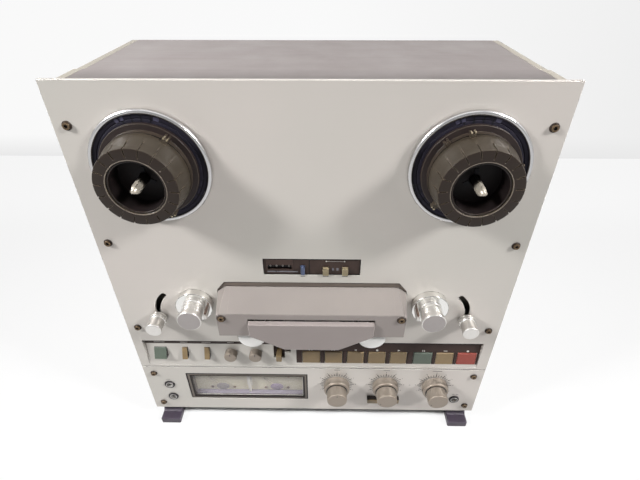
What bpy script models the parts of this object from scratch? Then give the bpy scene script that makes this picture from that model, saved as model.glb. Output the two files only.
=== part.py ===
"""Reel-to-reel tape deck, modelled as an assembly of separate pieces.

Most pieces sit on the deck's front, so they are placed in the front frame: x to the right, the
second value up from the panels' lower edge, and the third value out of the panel, toward the
viewer. The front frame is an empty, turned and lifted so that the world has +Z up and the front
faces -Y, with the origin at the middle of the deck's footprint, on the surface it stands on.
"""
import math

import bmesh
import bpy
from mathutils import Matrix, Vector

# Clearances
GAP = 0.0003
RUNNING_GAP = 0.0004
OVERRUN = 0.004
MERGE = 0.00001

# Case
FOOT_HEIGHT = 0.024
PANEL_WIDTH = 0.432
PANEL_HEIGHT = 0.4367
PANEL_THICKNESS = 0.004
PANEL_EDGE = 0.0006
PANEL_SPLIT = 0.0865
PANEL_SPLIT_GAP = 0.0008
CASE_SETBACK = 0.0028
CASE_DEPTH = 0.194
COVER_DROP = 0.0058
COVER_THICKNESS = 0.0016
COVER_FLANGE = 0.012
SIDE_THICKNESS = 0.0076
SIDE_LIP = 0.0025
SIDE_LIP_INSET = 0.0018
SIDE_LIP_DEPTH = 0.058
SIDE_EDGE = 0.0006
REAR_THICKNESS = 0.0016
REAR_INSET = 0.001
BUMPER_RADIUS = 0.0095
BUMPER_TIP_RADIUS = 0.007
BUMPER_LENGTH = 0.013
BUMPER_INSET = 0.034
VENT_WIDTH = 0.0035
VENT_HEIGHT = 0.042
VENT_PITCH = 0.014
VENT_COUNT = 5
VENT_DROP = 0.1067
SOCKET_FIELD_X_SHARE = -0.277778
SOCKET_FIELD_UP = 0.060
SOCKET_PITCH = 0.022
SOCKET_RADIUS = 0.0042
SOCKET_BORE = 0.0022
SOCKET_LENGTH = 0.008
SOCKET_ROWS = 2
SOCKET_COLUMNS = 2
INLET_X_SHARE = 0.300926
INLET_UP = 0.045
INLET_WIDTH = 0.024
INLET_HEIGHT = 0.018
INLET_DEPTH = 0.020
INLET_WALL = 0.002
FOOT_INSET = 0.0157
FOOT_WIDTH = 0.026
FOOT_TOE = 0.009
FOOT_TOE_DROP = 0.014
FOOT_TOE_SLOPE = 0.010
FOOT_REAR_INSET = 0.012
FOOT_EDGE = 0.0012

# Chassis frame behind the panels
BULKHEAD_OUT = -0.016
BULKHEAD_THICKNESS = 0.0025
BULKHEAD_BOTTOM_DROP = 0.0070
BULKHEAD_EDGE_GAP = 0.003
TRAY_THICKNESS = 0.002
TRAY_LIP = 0.014
RIB_THICKNESS = 0.002
RIB_DEPTH = 0.045
POST_RADIUS = 0.005
POST_SHARES = (0.168308, 0.359515, 0.636593, 0.913671)

# Reel drive
REEL_X_SHARE = 0.324074
REEL_DROP = 0.0757
MOTOR_RADIUS = 0.044
MOTOR_LENGTH = 0.058
MOTOR_COLLAR_RADIUS = 0.020
SHAFT_RADIUS = 0.006
SHAFT_DEPTH = 0.060
REEL_HOLE_RADIUS = 0.010
TABLE_RADIUS = 0.0538
TABLE_BACK = 0.0014
TABLE_FACE = 0.0042
TABLE_RIM_OUT = 0.0058
TABLE_RIM_WIDTH = 0.0036
TABLE_RIM_ROUND = 0.0009
SPINDLE_CORE_RADIUS = 0.0034
SPINDLE_LOBE_RADIUS = 0.0044
SPINDLE_LOBE_WIDTH = 0.0026
SPINDLE_TIP = 0.0458
SPINDLE_POINT = 0.004
SPINDLE_TIP_SHARE = 0.5
LOBE_COUNT = 3

# Removable reel hub: a base that carries the reel and a ring that locks it
HUB_FLANGE_RADIUS = 0.0430
HUB_FLANGE_THICKNESS = 0.0042
HUB_RADIUS = 0.0378
HUB_SEAM_OUT = 0.0150
HUB_SHOULDER_OUT = 0.0340
HUB_FRONT_OUT = 0.0400
HUB_FRONT_RADIUS = 0.0350
HUB_FRONT_ROUND = 0.0010
HUB_CUP_RADIUS = 0.0245
HUB_CUP_FLOOR = 0.0190
HUB_TUBE_WALL = 0.0016
HUB_TUBE_SETBACK = 0.0012
HUB_KEY_REACH = 0.0425
HUB_KEY_WIDTH = 0.0050
HUB_KEY_OVERLAP = 0.0030
HUB_BASE_KEY_LENGTH = 0.0040
HUB_RING_KEY_LENGTH = 0.0050
KEY_COUNT = 3
LEFT_KEY_ANGLE = math.radians(54)
RIGHT_BASE_KEY_ANGLE = math.radians(12)
RIGHT_RING_KEY_ANGLE = math.radians(102.5)
GROOVE_COUNT = 18
GROOVE_WIDTH = 0.0010
GROOVE_DEPTH = 0.0009
GROOVE_INNER_RADIUS = 0.0275

# Tape path
TAPE_UP_RISE = 0.0490
TENSION_PIVOT_X_SHARE = 0.321759
TENSION_PIVOT_UP_DROP = 0.0015
TENSION_RADIUS = 0.035
TENSION_REST_ANGLE = math.radians(-9.7)
TENSION_TRAVEL = math.radians(55)
TENSION_SLOT_MARGIN = math.radians(2)
TENSION_SLOT_WIDTH = 0.0062
TENSION_PIN_RADIUS = 0.0016
TENSION_PIVOT_RADIUS = 0.003
TENSION_HUB_RADIUS = 0.006
TENSION_ARM_WIDTH = 0.008
TENSION_ARM_THICKNESS = 0.0025
TENSION_ARM_OUT = -0.0095
SPOOL_COLLAR_RADIUS = 0.0095
SPOOL_COLLAR_OUT = 0.0030
SPOOL_BODY_RADIUS = 0.0080
SPOOL_BODY_OUT = 0.0090
SPOOL_CAP_RADIUS = 0.0086
SPOOL_CAP_OUT = 0.0198
SPOOL_FRONT_OUT = 0.0230
SPOOL_ROUND = 0.0008
GUIDE_X_SHARE = 0.298611
GUIDE_UP_RISE = 0.0135
GUIDE_DISC_RADIUS = 0.0200
GUIDE_DISC_OUT = 0.0082
GUIDE_STEM_RADIUS = 0.010
GUIDE_POST_RADIUS = 0.0028
GUIDE_POST_OUT = 0.0225
GUIDE_COLLAR_RADIUS = 0.0124
GUIDE_COLLAR_OUT = 0.0118
GUIDE_GROOVE_RADIUS = 0.0108
GUIDE_GROOVE_OUT = 0.0136
GUIDE_BODY_RADIUS = 0.0117
GUIDE_CAP_RADIUS = 0.0129
GUIDE_CAP_OUT = 0.0232
GUIDE_FRONT_OUT = 0.0290
GUIDE_ROUND = 0.0012
SENSOR_PIN_RADIUS = 0.0019
SENSOR_PIN_OUT = 0.0220

# Head block, capstans and pinch rollers
HEAD_CUT_HALF_SHARE = 0.237731
HEAD_CUT_TOP_RISE = 0.0443
HEAD_CUT_SHOULDER_HALF_SHARE = 0.216667
HEAD_CUT_SHOULDER_RISE = 0.0329
HEAD_CUT_BOTTOM_DROP = 0.0365
HEAD_BASE_DROP = 0.0070
HEAD_BASE_FRONT = -0.001
HEAD_BASE_THICKNESS = 0.005
HEAD_BLOCK_HALF_SHARE = 0.120370
HEAD_BLOCK_BOTTOM_RISE = 0.0065
HEAD_BLOCK_TOP_RISE = 0.0265
HEAD_BLOCK_OUT = 0.0060
HEAD_SHARES = (-0.083333, -0.030093, 0.030093, 0.083333)
HEAD_WIDTH = 0.0125
HEAD_TOP_RISE = 0.0205
HEAD_FRONT = 0.0198
HEAD_NOSE_RADIUS = 0.0110
TAPE_GUIDE_X_SHARE = 0.113426
TAPE_GUIDE_RADIUS = 0.0024
TAPE_GUIDE_FLANGE_RADIUS = 0.0040
TAPE_HALF_WIDTH = 0.0032
TAPE_OUT = 0.0170
FLANGE_THICKNESS = 0.0009
CAPSTAN_X_SHARE = 0.153935
CAPSTAN_RADIUS = 0.0030
CAPSTAN_TIP = 0.0200
CAPSTAN_BOSS_RADIUS = 0.0065
CAPSTAN_BOSS_OUT = 0.0090
FLYWHEEL_RADIUS = 0.038
FLYWHEEL_THICKNESS = 0.014
FLYWHEEL_RIM = 0.007
FLYWHEEL_WEB = 0.005
FLYWHEEL_SETBACK = 0.006
CAPSTAN_TAIL = 0.012
CAPSTAN_MOTOR_RISE = 0.0785
CAPSTAN_MOTOR_RADIUS = 0.026
CAPSTAN_MOTOR_LENGTH = 0.050
PINCH_X_SHARE = 0.153935
PINCH_UP_DROP = 0.0177
PINCH_RADIUS = 0.0142
PINCH_TYRE_OUT = 0.0105
PINCH_CAP_RADIUS = 0.0150
PINCH_CAP_OUT = 0.0204
PINCH_FRONT_OUT = 0.0230
PINCH_ROUND = 0.0006
PINCH_SLEEVE_RADIUS = 0.0055
PINCH_PIN_RADIUS = 0.0021
PINCH_PIN_OUT = 0.0185
PINCH_PIVOT_X_SHARE = 0.212963
PINCH_PIVOT_UP_DROP = 0.0235
PINCH_PIVOT_RADIUS = 0.0028
PINCH_ARM_THICKNESS = 0.0045
PINCH_ARM_WIDTH = 0.0100

# Head housing and its hinged front flap
HOUSING_WALL = 0.0022
HOUSING_FRONT = 0.0265
HOUSING_REAR_TOP_RISE = 0.0380
HOUSING_REAR_SHOULDER_RISE = 0.0310
HOUSING_REAR_SHOULDER_HALF_SHARE = 0.215278
HOUSING_REAR_HALF_SHARE = 0.236574
HOUSING_FRONT_TOP_RISE = 0.0225
HOUSING_FRONT_SHOULDER_RISE = 0.0195
HOUSING_FRONT_SHOULDER_HALF_SHARE = 0.225000
HOUSING_FRONT_HALF_SHARE = 0.232639
HOUSING_BOTTOM_DROP = 0.0105
HOUSING_EDGE = 0.0006
TAPE_EXIT_TOP_RISE = 0.0085
TAPE_EXIT_BACK = 0.0100
TAPE_EXIT_FRONT = 0.0235
NOTCH_HALF_SHARE = 0.156713
NOTCH_TOP_RISE = 0.0153
SCREW_BOSS_X_SHARE = 0.219907
SCREW_BOSS_UP_RISE = 0.0165
SCREW_BOSS_WIDTH = 0.0075
SCREW_BOSS_OUT = 0.0004
FLAP_HALF_SHARE = 0.155093
FLAP_TOP_RISE = 0.0120
FLAP_TOP_FRONT_RISE = 0.0107
FLAP_SHOULDER_DROP = 0.0069
FLAP_BOTTOM_DROP = 0.0276
FLAP_BOTTOM_HALF_SHARE = 0.068519
FLAP_BACK = 0.0250
FLAP_FRONT = 0.0305
FLAP_PLATE = 0.0022
FLAP_EDGE = 0.0006
FLAP_PIVOT_UP_RISE = 0.0081
FLAP_PIVOT_OUT = 0.0242
FLAP_PIN_RADIUS = 0.0011
FLAP_PIN_LENGTH = 0.0022
FLAP_LUG_WIDTH = 0.0030
FLAP_LUG_RADIUS = 0.0022
FLAP_EAR_WIDTH = 0.0030
FLAP_EAR_RADIUS = 0.0022

# Counter
COUNTER_LEFT_SHARE = -0.116204
COUNTER_RIGHT_SHARE = 0.118519
COUNTER_RISE = 0.0102
COUNTER_HEIGHT = 0.0215
COUNTER_FACE = -0.0016
COUNTER_DEPTH = 0.0175
DRUM_X_SHARE = -0.076389
DRUM_RISE = 0.0110
DRUM_RADIUS = 0.0058
DRUM_WHEEL_WIDTH_SHARE = 0.013426
DRUM_GROOVE = 0.0006
DRUM_GROOVE_DEPTH = 0.0005
DRUM_WHEELS = 4
DRUM_AXLE_RADIUS = 0.0012
DRUM_AXLE_LENGTH = 0.0020
RESET_X_SHARE = -0.020833
RESET_WIDTH = 0.0042
RESET_RISE = 0.0007
RESET_HEIGHT = 0.0110
RESET_OUT = 0.0012
MEMORY_SHARES = (0.034722, 0.081481)
MEMORY_WIDTH = 0.0062
MEMORY_RISE = 0.0009
MEMORY_HEIGHT = 0.0090
MEMORY_OUT = 0.0022
BUTTON_EDGE = 0.0004
BUTTON_SIDE_GAP = 0.0004

# Control strip
STRIP_LEFT_SHARE = -0.473843
STRIP_RIGHT_SHARE = 0.471065
STRIP_BOTTOM_RISE = 0.0040
STRIP_TOP_RISE = 0.0480
STRIP_TOP_DEPTH = 0.0050
STRIP_BOTTOM_DEPTH = 0.0002
STRIP_THICKNESS = 0.0025
KEY_SPAN_SHARES = (
    ("key_rewind", -0.029398, 0.020833, "tan"),
    ("key_fast_forward", 0.034722, 0.083333, "tan"),
    ("key_reverse", 0.097222, 0.144676, "tan"),
    ("key_stop", 0.157407, 0.206019, "tan"),
    ("key_play", 0.219907, 0.266204, "tan"),
    ("key_pause", 0.285880, 0.337963, "green"),
    ("key_mute", 0.349537, 0.398148, "tan"),
    ("key_record", 0.409722, 0.462963, "red"),
)
KEY_BOTTOM_RISE = 0.0060
KEY_TOP_RISE = 0.0243
KEY_TOP_OUT = -0.0016
KEY_BOTTOM_OUT = 0.0002
KEY_STEM = 0.0100
KEY_EDGE = 0.0007
SWITCH_SHARES = (
    ("power_button", -0.431713, 0.0150, "green"),
    ("speed_button", -0.362269, 0.0064, "tan"),
    ("reel_size_button", -0.299306, 0.0064, "tan"),
)
SWITCH_BOTTOM_RISE = 0.0149
SWITCH_TOP_RISE = 0.0290
SWITCH_BOTTOM_OUT = 0.0042
SWITCH_TOP_OUT = -0.0024
SWITCH_STEM = 0.0110
SMALL_KNOB_SHARES = (("pitch_knob", -0.230324), ("timer_knob", -0.160880))
SMALL_KNOB_UP_RISE = 0.0224
SMALL_KNOB_RADIUS = 0.0075
SMALL_KNOB_FRONT = 0.0078
SMALL_KNOB_BACK = -0.0012
SMALL_KNOB_ROUND = 0.0012
SMALL_KNOB_STEM_RADIUS = 0.0030
SMALL_KNOB_STEM = 0.0100
LEVER_X_SHARE = -0.094907
LEVER_WIDTH = 0.0065
LEVER_BOTTOM_RISE = 0.0145
LEVER_TOP_RISE = 0.0245
LEVER_OUT = 0.0060
LEVER_PIVOT_DEPTH = 0.030
LEVER_HUB_RADIUS = 0.004
LEVER_PIN_RADIUS = 0.0015
LEVER_SLOT_LEFT_SHARE = -0.111111
LEVER_SLOT_RIGHT_SHARE = -0.079398
LEVER_SLOT_BOTTOM_RISE = 0.0135
LEVER_SLOT_TOP_RISE = 0.0355
LEVER_SIDE_RIGHT_SHARE = -0.062500
LEVER_SIDE_BOTTOM_RISE = 0.0220
LEVER_SIDE_TOP_RISE = 0.0295
LEVER_BRACKET_WALL = 0.0020

# Level meters
METER_LEFT_SHARE = -0.378472
METER_RIGHT_SHARE = -0.016204
METER_BOTTOM = 0.0215
METER_TOP_DROP = 0.0125
METER_FACE = -0.0010
METER_BAR_SIDE = 0.0060
METER_BAR_BOTTOM = 0.0045
METER_BAR_TOP = 0.0060
METER_DIAL_DEPTH = 0.0116
METER_BACK_WALL = 0.0020
LENS_SETBACK = 0.0020
LENS_THICKNESS = 0.0015
NEEDLE_PIVOT_UP = 0.0340
NEEDLE_HUB_RADIUS = 0.0026
NEEDLE_THICKNESS = 0.0008
NEEDLE_WIDTH = 0.0009
NEEDLE_LENGTH = 0.0240
NEEDLE_REST = math.radians(42)
NEEDLE_DIAL_GAP = 0.0014
NEEDLE_PIN_RADIUS = 0.0010
METER_DIVIDER_WIDTH = 0.0020
METER_DIVIDER_DEPTH = 0.0040

# Level knobs, monitor buttons and sockets
LEVEL_KNOB_SHARES = (("output", 0.070602), ("line", 0.215278), ("mic", 0.362269))
LEVEL_UP_DROP = 0.0315
LEVEL_RING_RADIUS = 0.0165
LEVEL_RING_TAPER = 0.0006
LEVEL_RING_BACK = 0.0008
LEVEL_RING_OUT = 0.0113
LEVEL_KNOB_RADIUS = 0.0125
LEVEL_KNOB_OUT = 0.0257
LEVEL_ROUND = 0.0012
LEVEL_SHAFT_RADIUS = 0.0030
LEVEL_SHAFT_DEPTH = 0.0090
LEVEL_SLEEVE_WALL = 0.0014
LEVEL_SLEEVE_DEPTH = 0.0060
MONITOR_BUTTON_SHARES = (("monitor_source_button", 0.184491), ("monitor_tape_button", 0.241898))
MONITOR_WIDTH = 0.0165
MONITOR_BOTTOM = 0.0240
MONITOR_TOP = 0.0310
MONITOR_OUT = 0.0070
MONITOR_STEM = 0.0100
JACK_SHARES = ((-0.434028, 0.0510), (-0.434028, 0.0260), (0.432870, 0.0260))
JACK_NUT_RADIUS = 0.0065
JACK_NUT_OUT = 0.0012
JACK_BORE = 0.0032
JACK_DEPTH = 0.020
JACK_BARREL_RADIUS = 0.0055
JACK_END_WALL = 0.0020

# Facets of round pieces
TINY = 8
COARSE = 12
MEDIUM = 16
FINE = 24
BEVEL_STEPS = 2

# Places across the panel, as shares of its width
REEL_X = REEL_X_SHARE * PANEL_WIDTH
TENSION_PIVOT_X = TENSION_PIVOT_X_SHARE * PANEL_WIDTH
GUIDE_X = GUIDE_X_SHARE * PANEL_WIDTH
HEAD_CUT_HALF = HEAD_CUT_HALF_SHARE * PANEL_WIDTH
HEAD_CUT_SHOULDER_HALF = HEAD_CUT_SHOULDER_HALF_SHARE * PANEL_WIDTH
HEAD_BLOCK_HALF = HEAD_BLOCK_HALF_SHARE * PANEL_WIDTH
TAPE_GUIDE_X = TAPE_GUIDE_X_SHARE * PANEL_WIDTH
CAPSTAN_X = CAPSTAN_X_SHARE * PANEL_WIDTH
PINCH_X = PINCH_X_SHARE * PANEL_WIDTH
PINCH_PIVOT_X = PINCH_PIVOT_X_SHARE * PANEL_WIDTH
HOUSING_REAR_SHOULDER_HALF = HOUSING_REAR_SHOULDER_HALF_SHARE * PANEL_WIDTH
HOUSING_REAR_HALF = HOUSING_REAR_HALF_SHARE * PANEL_WIDTH
HOUSING_FRONT_SHOULDER_HALF = HOUSING_FRONT_SHOULDER_HALF_SHARE * PANEL_WIDTH
HOUSING_FRONT_HALF = HOUSING_FRONT_HALF_SHARE * PANEL_WIDTH
NOTCH_HALF = NOTCH_HALF_SHARE * PANEL_WIDTH
SCREW_BOSS_X = SCREW_BOSS_X_SHARE * PANEL_WIDTH
FLAP_HALF = FLAP_HALF_SHARE * PANEL_WIDTH
FLAP_BOTTOM_HALF = FLAP_BOTTOM_HALF_SHARE * PANEL_WIDTH
COUNTER_LEFT = COUNTER_LEFT_SHARE * PANEL_WIDTH
COUNTER_RIGHT = COUNTER_RIGHT_SHARE * PANEL_WIDTH
DRUM_X = DRUM_X_SHARE * PANEL_WIDTH
DRUM_WHEEL_WIDTH = DRUM_WHEEL_WIDTH_SHARE * PANEL_WIDTH
RESET_X = RESET_X_SHARE * PANEL_WIDTH
STRIP_LEFT = STRIP_LEFT_SHARE * PANEL_WIDTH
STRIP_RIGHT = STRIP_RIGHT_SHARE * PANEL_WIDTH
LEVER_X = LEVER_X_SHARE * PANEL_WIDTH
LEVER_SLOT_LEFT = LEVER_SLOT_LEFT_SHARE * PANEL_WIDTH
LEVER_SLOT_RIGHT = LEVER_SLOT_RIGHT_SHARE * PANEL_WIDTH
LEVER_SIDE_RIGHT = LEVER_SIDE_RIGHT_SHARE * PANEL_WIDTH
METER_LEFT = METER_LEFT_SHARE * PANEL_WIDTH
METER_RIGHT = METER_RIGHT_SHARE * PANEL_WIDTH
SOCKET_FIELD_X = SOCKET_FIELD_X_SHARE * PANEL_WIDTH
INLET_X = INLET_X_SHARE * PANEL_WIDTH
HEAD_XS = [share * PANEL_WIDTH for share in HEAD_SHARES]
MEMORY_XS = [share * PANEL_WIDTH for share in MEMORY_SHARES]
KEY_SPANS = [(name, left * PANEL_WIDTH, right * PANEL_WIDTH, colour)
             for name, left, right, colour in KEY_SPAN_SHARES]
SWITCHES = [(name, share * PANEL_WIDTH, width, colour) for name, share, width, colour in SWITCH_SHARES]
SMALL_KNOBS = [(name, share * PANEL_WIDTH) for name, share in SMALL_KNOB_SHARES]
LEVEL_KNOBS = [(name, share * PANEL_WIDTH) for name, share in LEVEL_KNOB_SHARES]
MONITOR_BUTTONS = [(name, share * PANEL_WIDTH) for name, share in MONITOR_BUTTON_SHARES]
JACKS = [(share * PANEL_WIDTH, up) for share, up in JACK_SHARES]

# Places up the panel, each from the line below it or from the tape's line
STRIP_BOTTOM = PANEL_SPLIT + STRIP_BOTTOM_RISE
STRIP_TOP = PANEL_SPLIT + STRIP_TOP_RISE
KEY_BOTTOM = STRIP_BOTTOM + KEY_BOTTOM_RISE
KEY_TOP = STRIP_BOTTOM + KEY_TOP_RISE
SWITCH_BOTTOM = STRIP_BOTTOM + SWITCH_BOTTOM_RISE
SWITCH_TOP = STRIP_BOTTOM + SWITCH_TOP_RISE
SMALL_KNOB_UP = STRIP_BOTTOM + SMALL_KNOB_UP_RISE
LEVER_BOTTOM = STRIP_BOTTOM + LEVER_BOTTOM_RISE
LEVER_TOP = STRIP_BOTTOM + LEVER_TOP_RISE
LEVER_SLOT_BOTTOM = STRIP_BOTTOM + LEVER_SLOT_BOTTOM_RISE
LEVER_SLOT_TOP = STRIP_BOTTOM + LEVER_SLOT_TOP_RISE
LEVER_SIDE_BOTTOM = STRIP_BOTTOM + LEVER_SIDE_BOTTOM_RISE
LEVER_SIDE_TOP = STRIP_BOTTOM + LEVER_SIDE_TOP_RISE
METER_TOP = PANEL_SPLIT - METER_TOP_DROP
LEVEL_UP = PANEL_SPLIT - LEVEL_UP_DROP
TAPE_UP = STRIP_TOP + TAPE_UP_RISE
TENSION_PIVOT_UP = TAPE_UP - TENSION_PIVOT_UP_DROP
GUIDE_UP = TAPE_UP + GUIDE_UP_RISE
HEAD_CUT_TOP = TAPE_UP + HEAD_CUT_TOP_RISE
HEAD_CUT_SHOULDER = TAPE_UP + HEAD_CUT_SHOULDER_RISE
HEAD_CUT_BOTTOM = TAPE_UP - HEAD_CUT_BOTTOM_DROP
HEAD_BLOCK_BOTTOM = TAPE_UP + HEAD_BLOCK_BOTTOM_RISE
HEAD_BLOCK_TOP = TAPE_UP + HEAD_BLOCK_TOP_RISE
HEAD_TOP = TAPE_UP + HEAD_TOP_RISE
PINCH_UP = TAPE_UP - PINCH_UP_DROP
PINCH_PIVOT_UP = TAPE_UP - PINCH_PIVOT_UP_DROP
HOUSING_REAR_TOP = TAPE_UP + HOUSING_REAR_TOP_RISE
HOUSING_REAR_SHOULDER = TAPE_UP + HOUSING_REAR_SHOULDER_RISE
HOUSING_FRONT_TOP = TAPE_UP + HOUSING_FRONT_TOP_RISE
HOUSING_FRONT_SHOULDER = TAPE_UP + HOUSING_FRONT_SHOULDER_RISE
HOUSING_BOTTOM = TAPE_UP - HOUSING_BOTTOM_DROP
TAPE_EXIT_TOP = TAPE_UP + TAPE_EXIT_TOP_RISE
NOTCH_TOP = TAPE_UP + NOTCH_TOP_RISE
SCREW_BOSS_UP = TAPE_UP + SCREW_BOSS_UP_RISE
FLAP_TOP = TAPE_UP + FLAP_TOP_RISE
FLAP_TOP_FRONT = TAPE_UP + FLAP_TOP_FRONT_RISE
FLAP_SHOULDER = TAPE_UP - FLAP_SHOULDER_DROP
FLAP_BOTTOM = TAPE_UP - FLAP_BOTTOM_DROP
FLAP_PIVOT_UP = TAPE_UP + FLAP_PIVOT_UP_RISE
BULKHEAD_BOTTOM = HEAD_CUT_BOTTOM - BULKHEAD_BOTTOM_DROP

# Worked-out places
CASE_WIDTH = PANEL_WIDTH - CASE_SETBACK * 2
FOOT_X = CASE_WIDTH / 2 - FOOT_INSET
REEL_UP = PANEL_HEIGHT - REEL_DROP
PANEL_SCREW_UPS = [share * PANEL_HEIGHT for share in POST_SHARES]
VENT_UP = PANEL_HEIGHT - VENT_DROP
COUNTER_BOTTOM = HEAD_CUT_TOP + COUNTER_RISE
COUNTER_TOP = COUNTER_BOTTOM + COUNTER_HEIGHT
DRUM_UP = COUNTER_BOTTOM + DRUM_RISE
RESET_BOTTOM = COUNTER_BOTTOM + RESET_RISE
RESET_TOP = RESET_BOTTOM + RESET_HEIGHT
MEMORY_BOTTOM = COUNTER_BOTTOM + MEMORY_RISE
MEMORY_TOP = MEMORY_BOTTOM + MEMORY_HEIGHT
CAPSTAN_MOTOR_UP = TAPE_UP + CAPSTAN_MOTOR_RISE
FRONT_REACH = SPINDLE_TIP
REAR_REACH = CASE_DEPTH - REAR_INSET + BUMPER_LENGTH
FRONT_Y = (FRONT_REACH - REAR_REACH) / 2
PANEL_BACK = -PANEL_THICKNESS
COVER_TOP = PANEL_HEIGHT - COVER_DROP
INNER_HALF = CASE_WIDTH / 2 - SIDE_THICKNESS
BULKHEAD_BACK = BULKHEAD_OUT - BULKHEAD_THICKNESS
HUB_BACK = TABLE_FACE + GAP
HUB_FLANGE_OUT = HUB_BACK + HUB_FLANGE_THICKNESS
HEAD_BASE_BACK = HEAD_BASE_FRONT - HEAD_BASE_THICKNESS
CAPSTAN_UP = TAPE_UP + CAPSTAN_RADIUS
SLOT_END_ANGLE = TENSION_REST_ANGLE + TENSION_TRAVEL + TENSION_SLOT_MARGIN

for old in list(bpy.data.objects):
    bpy.data.objects.remove(old, do_unlink=True)

scene = bpy.context.scene
PARTS = bpy.data.collections.new("reel_tape_deck")
CUTTERS = bpy.data.collections.new("cutters")
scene.collection.children.link(PARTS)
scene.collection.children.link(CUTTERS)

FRONT = bpy.data.objects.new("front_frame", None)
FRONT.location = (0, FRONT_Y, FOOT_HEIGHT)
FRONT.rotation_euler = (math.pi / 2, 0, 0)
PARTS.objects.link(FRONT)


def paint(name, colour, roughness, metallic=0.0):
    """A Principled material with the piece's own colour."""
    made = bpy.data.materials.new(name)
    made.use_nodes = True
    shader = made.node_tree.nodes["Principled BSDF"]
    shader.inputs["Base Color"].default_value = (*colour, 1)
    shader.inputs["Roughness"].default_value = roughness
    shader.inputs["Metallic"].default_value = metallic
    return made


PAINT = {
    "silver": paint("champagne_silver", (0.54, 0.50, 0.46), 0.45, 0.3),
    "cover": paint("brown_grey_sheet", (0.40, 0.36, 0.34), 0.55),
    "beige": paint("beige_sheet", (0.50, 0.44, 0.36), 0.5),
    "steel": paint("plated_steel", (0.60, 0.60, 0.58), 0.35, 0.9),
    "polished": paint("polished_metal", (0.80, 0.79, 0.77), 0.18, 1.0),
    "hub": paint("brown_plastic", (0.075, 0.058, 0.045), 0.5),
    "black": paint("black_plastic", (0.035, 0.030, 0.032), 0.5),
    "rubber": paint("foot_rubber", (0.040, 0.035, 0.045), 0.7),
    "housing": paint("grey_moulding", (0.40, 0.36, 0.33), 0.5),
    "flap": paint("grey_flap", (0.36, 0.33, 0.31), 0.5),
    "white": paint("white_cap", (0.82, 0.82, 0.80), 0.35),
    "tan": paint("tan_key", (0.21, 0.16, 0.09), 0.45),
    "green": paint("green_key", (0.12, 0.17, 0.14), 0.45),
    "red": paint("red_key", (0.40, 0.07, 0.05), 0.45),
    "blue": paint("blue_key", (0.16, 0.22, 0.34), 0.45),
    "knob": paint("taupe_knob", (0.34, 0.30, 0.25), 0.45),
    "lens": paint("clear_lens", (0.85, 0.86, 0.88), 0.05),
}


def add_object(name, mesh, group, colour=None, parent=None):
    made = bpy.data.objects.new(name, mesh)
    group.objects.link(made)
    made.parent = parent if parent else FRONT
    if colour:
        mesh.materials.clear()
        mesh.materials.append(PAINT[colour])
    if group == CUTTERS:
        made.hide_render = True
        made.display_type = "WIRE"
    return made


def soften(made, angle=35):
    """Smooth shading, with edges sharper than the angle kept."""
    made.data.shade_smooth()
    made.data.set_sharp_from_angle(angle=math.radians(angle))
    return made


def mesh_from(name, solid):
    bmesh.ops.recalc_face_normals(solid, faces=solid.faces)
    mesh = bpy.data.meshes.new(name)
    solid.to_mesh(mesh)
    solid.free()
    return mesh


def block(name, xs, ups, outs, colour=None):
    """A box between pairs of x, up and out; without a colour it is a cutter."""
    solid = bmesh.new()
    size = Vector((xs[1] - xs[0], ups[1] - ups[0], outs[1] - outs[0]))
    middle = Vector((sum(xs) / 2, sum(ups) / 2, sum(outs) / 2))
    bmesh.ops.create_cube(solid, size=1)
    place = Matrix.Translation(middle) @ Matrix.Diagonal((*size, 1))
    bmesh.ops.transform(solid, matrix=place, verts=solid.verts)
    return add_object(name, mesh_from(name, solid), PARTS if colour else CUTTERS, colour)


def rod(name, centre, radius, outs, colour=None, steps=MEDIUM, tip_radius=None):
    """A cylinder or cone along out, centred on (x, up)."""
    solid = bmesh.new()
    length = outs[1] - outs[0]
    front_radius = radius if tip_radius is None else tip_radius
    bmesh.ops.create_cone(
        solid, cap_ends=True, segments=steps, radius1=radius, radius2=front_radius, depth=length)
    shift = Matrix.Translation((centre[0], centre[1], sum(outs) / 2))
    bmesh.ops.transform(solid, matrix=shift, verts=solid.verts)
    made = add_object(name, mesh_from(name, solid), PARTS if colour else CUTTERS, colour)
    return soften(made)


def cross_rod(name, up, out, radius, xs, colour=None, steps=COARSE):
    """A cylinder along x."""
    solid = bmesh.new()
    bmesh.ops.create_cone(
        solid, cap_ends=True, segments=steps, radius1=radius, radius2=radius, depth=xs[1] - xs[0])
    turn = Matrix.Translation((sum(xs) / 2, up, out)) @ Matrix.Rotation(math.pi / 2, 4, "Y")
    bmesh.ops.transform(solid, matrix=turn, verts=solid.verts)
    made = add_object(name, mesh_from(name, solid), PARTS if colour else CUTTERS, colour)
    return soften(made)


def turned(name, centre, profile, colour, steps=MEDIUM, closed=False):
    """A profile of (radius, out) pairs, from its front down its outer side, swept by a Screw."""
    mesh = bpy.data.meshes.new(name)
    points = [(radius, 0, out) for radius, out in profile]
    edges = [(index, index + 1) for index in range(len(points) - 1)]
    if closed:
        edges.append((len(points) - 1, 0))
    mesh.from_pydata(points, edges, [])
    made = add_object(name, mesh, PARTS if colour else CUTTERS, colour)
    made.location = (centre[0], centre[1], 0)
    screw = made.modifiers.new("turn", "SCREW")
    screw.axis = "Z"
    screw.steps = steps
    screw.render_steps = steps
    screw.use_merge_vertices = True
    screw.merge_threshold = MERGE
    screw.use_smooth_shade = True
    return made


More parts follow.
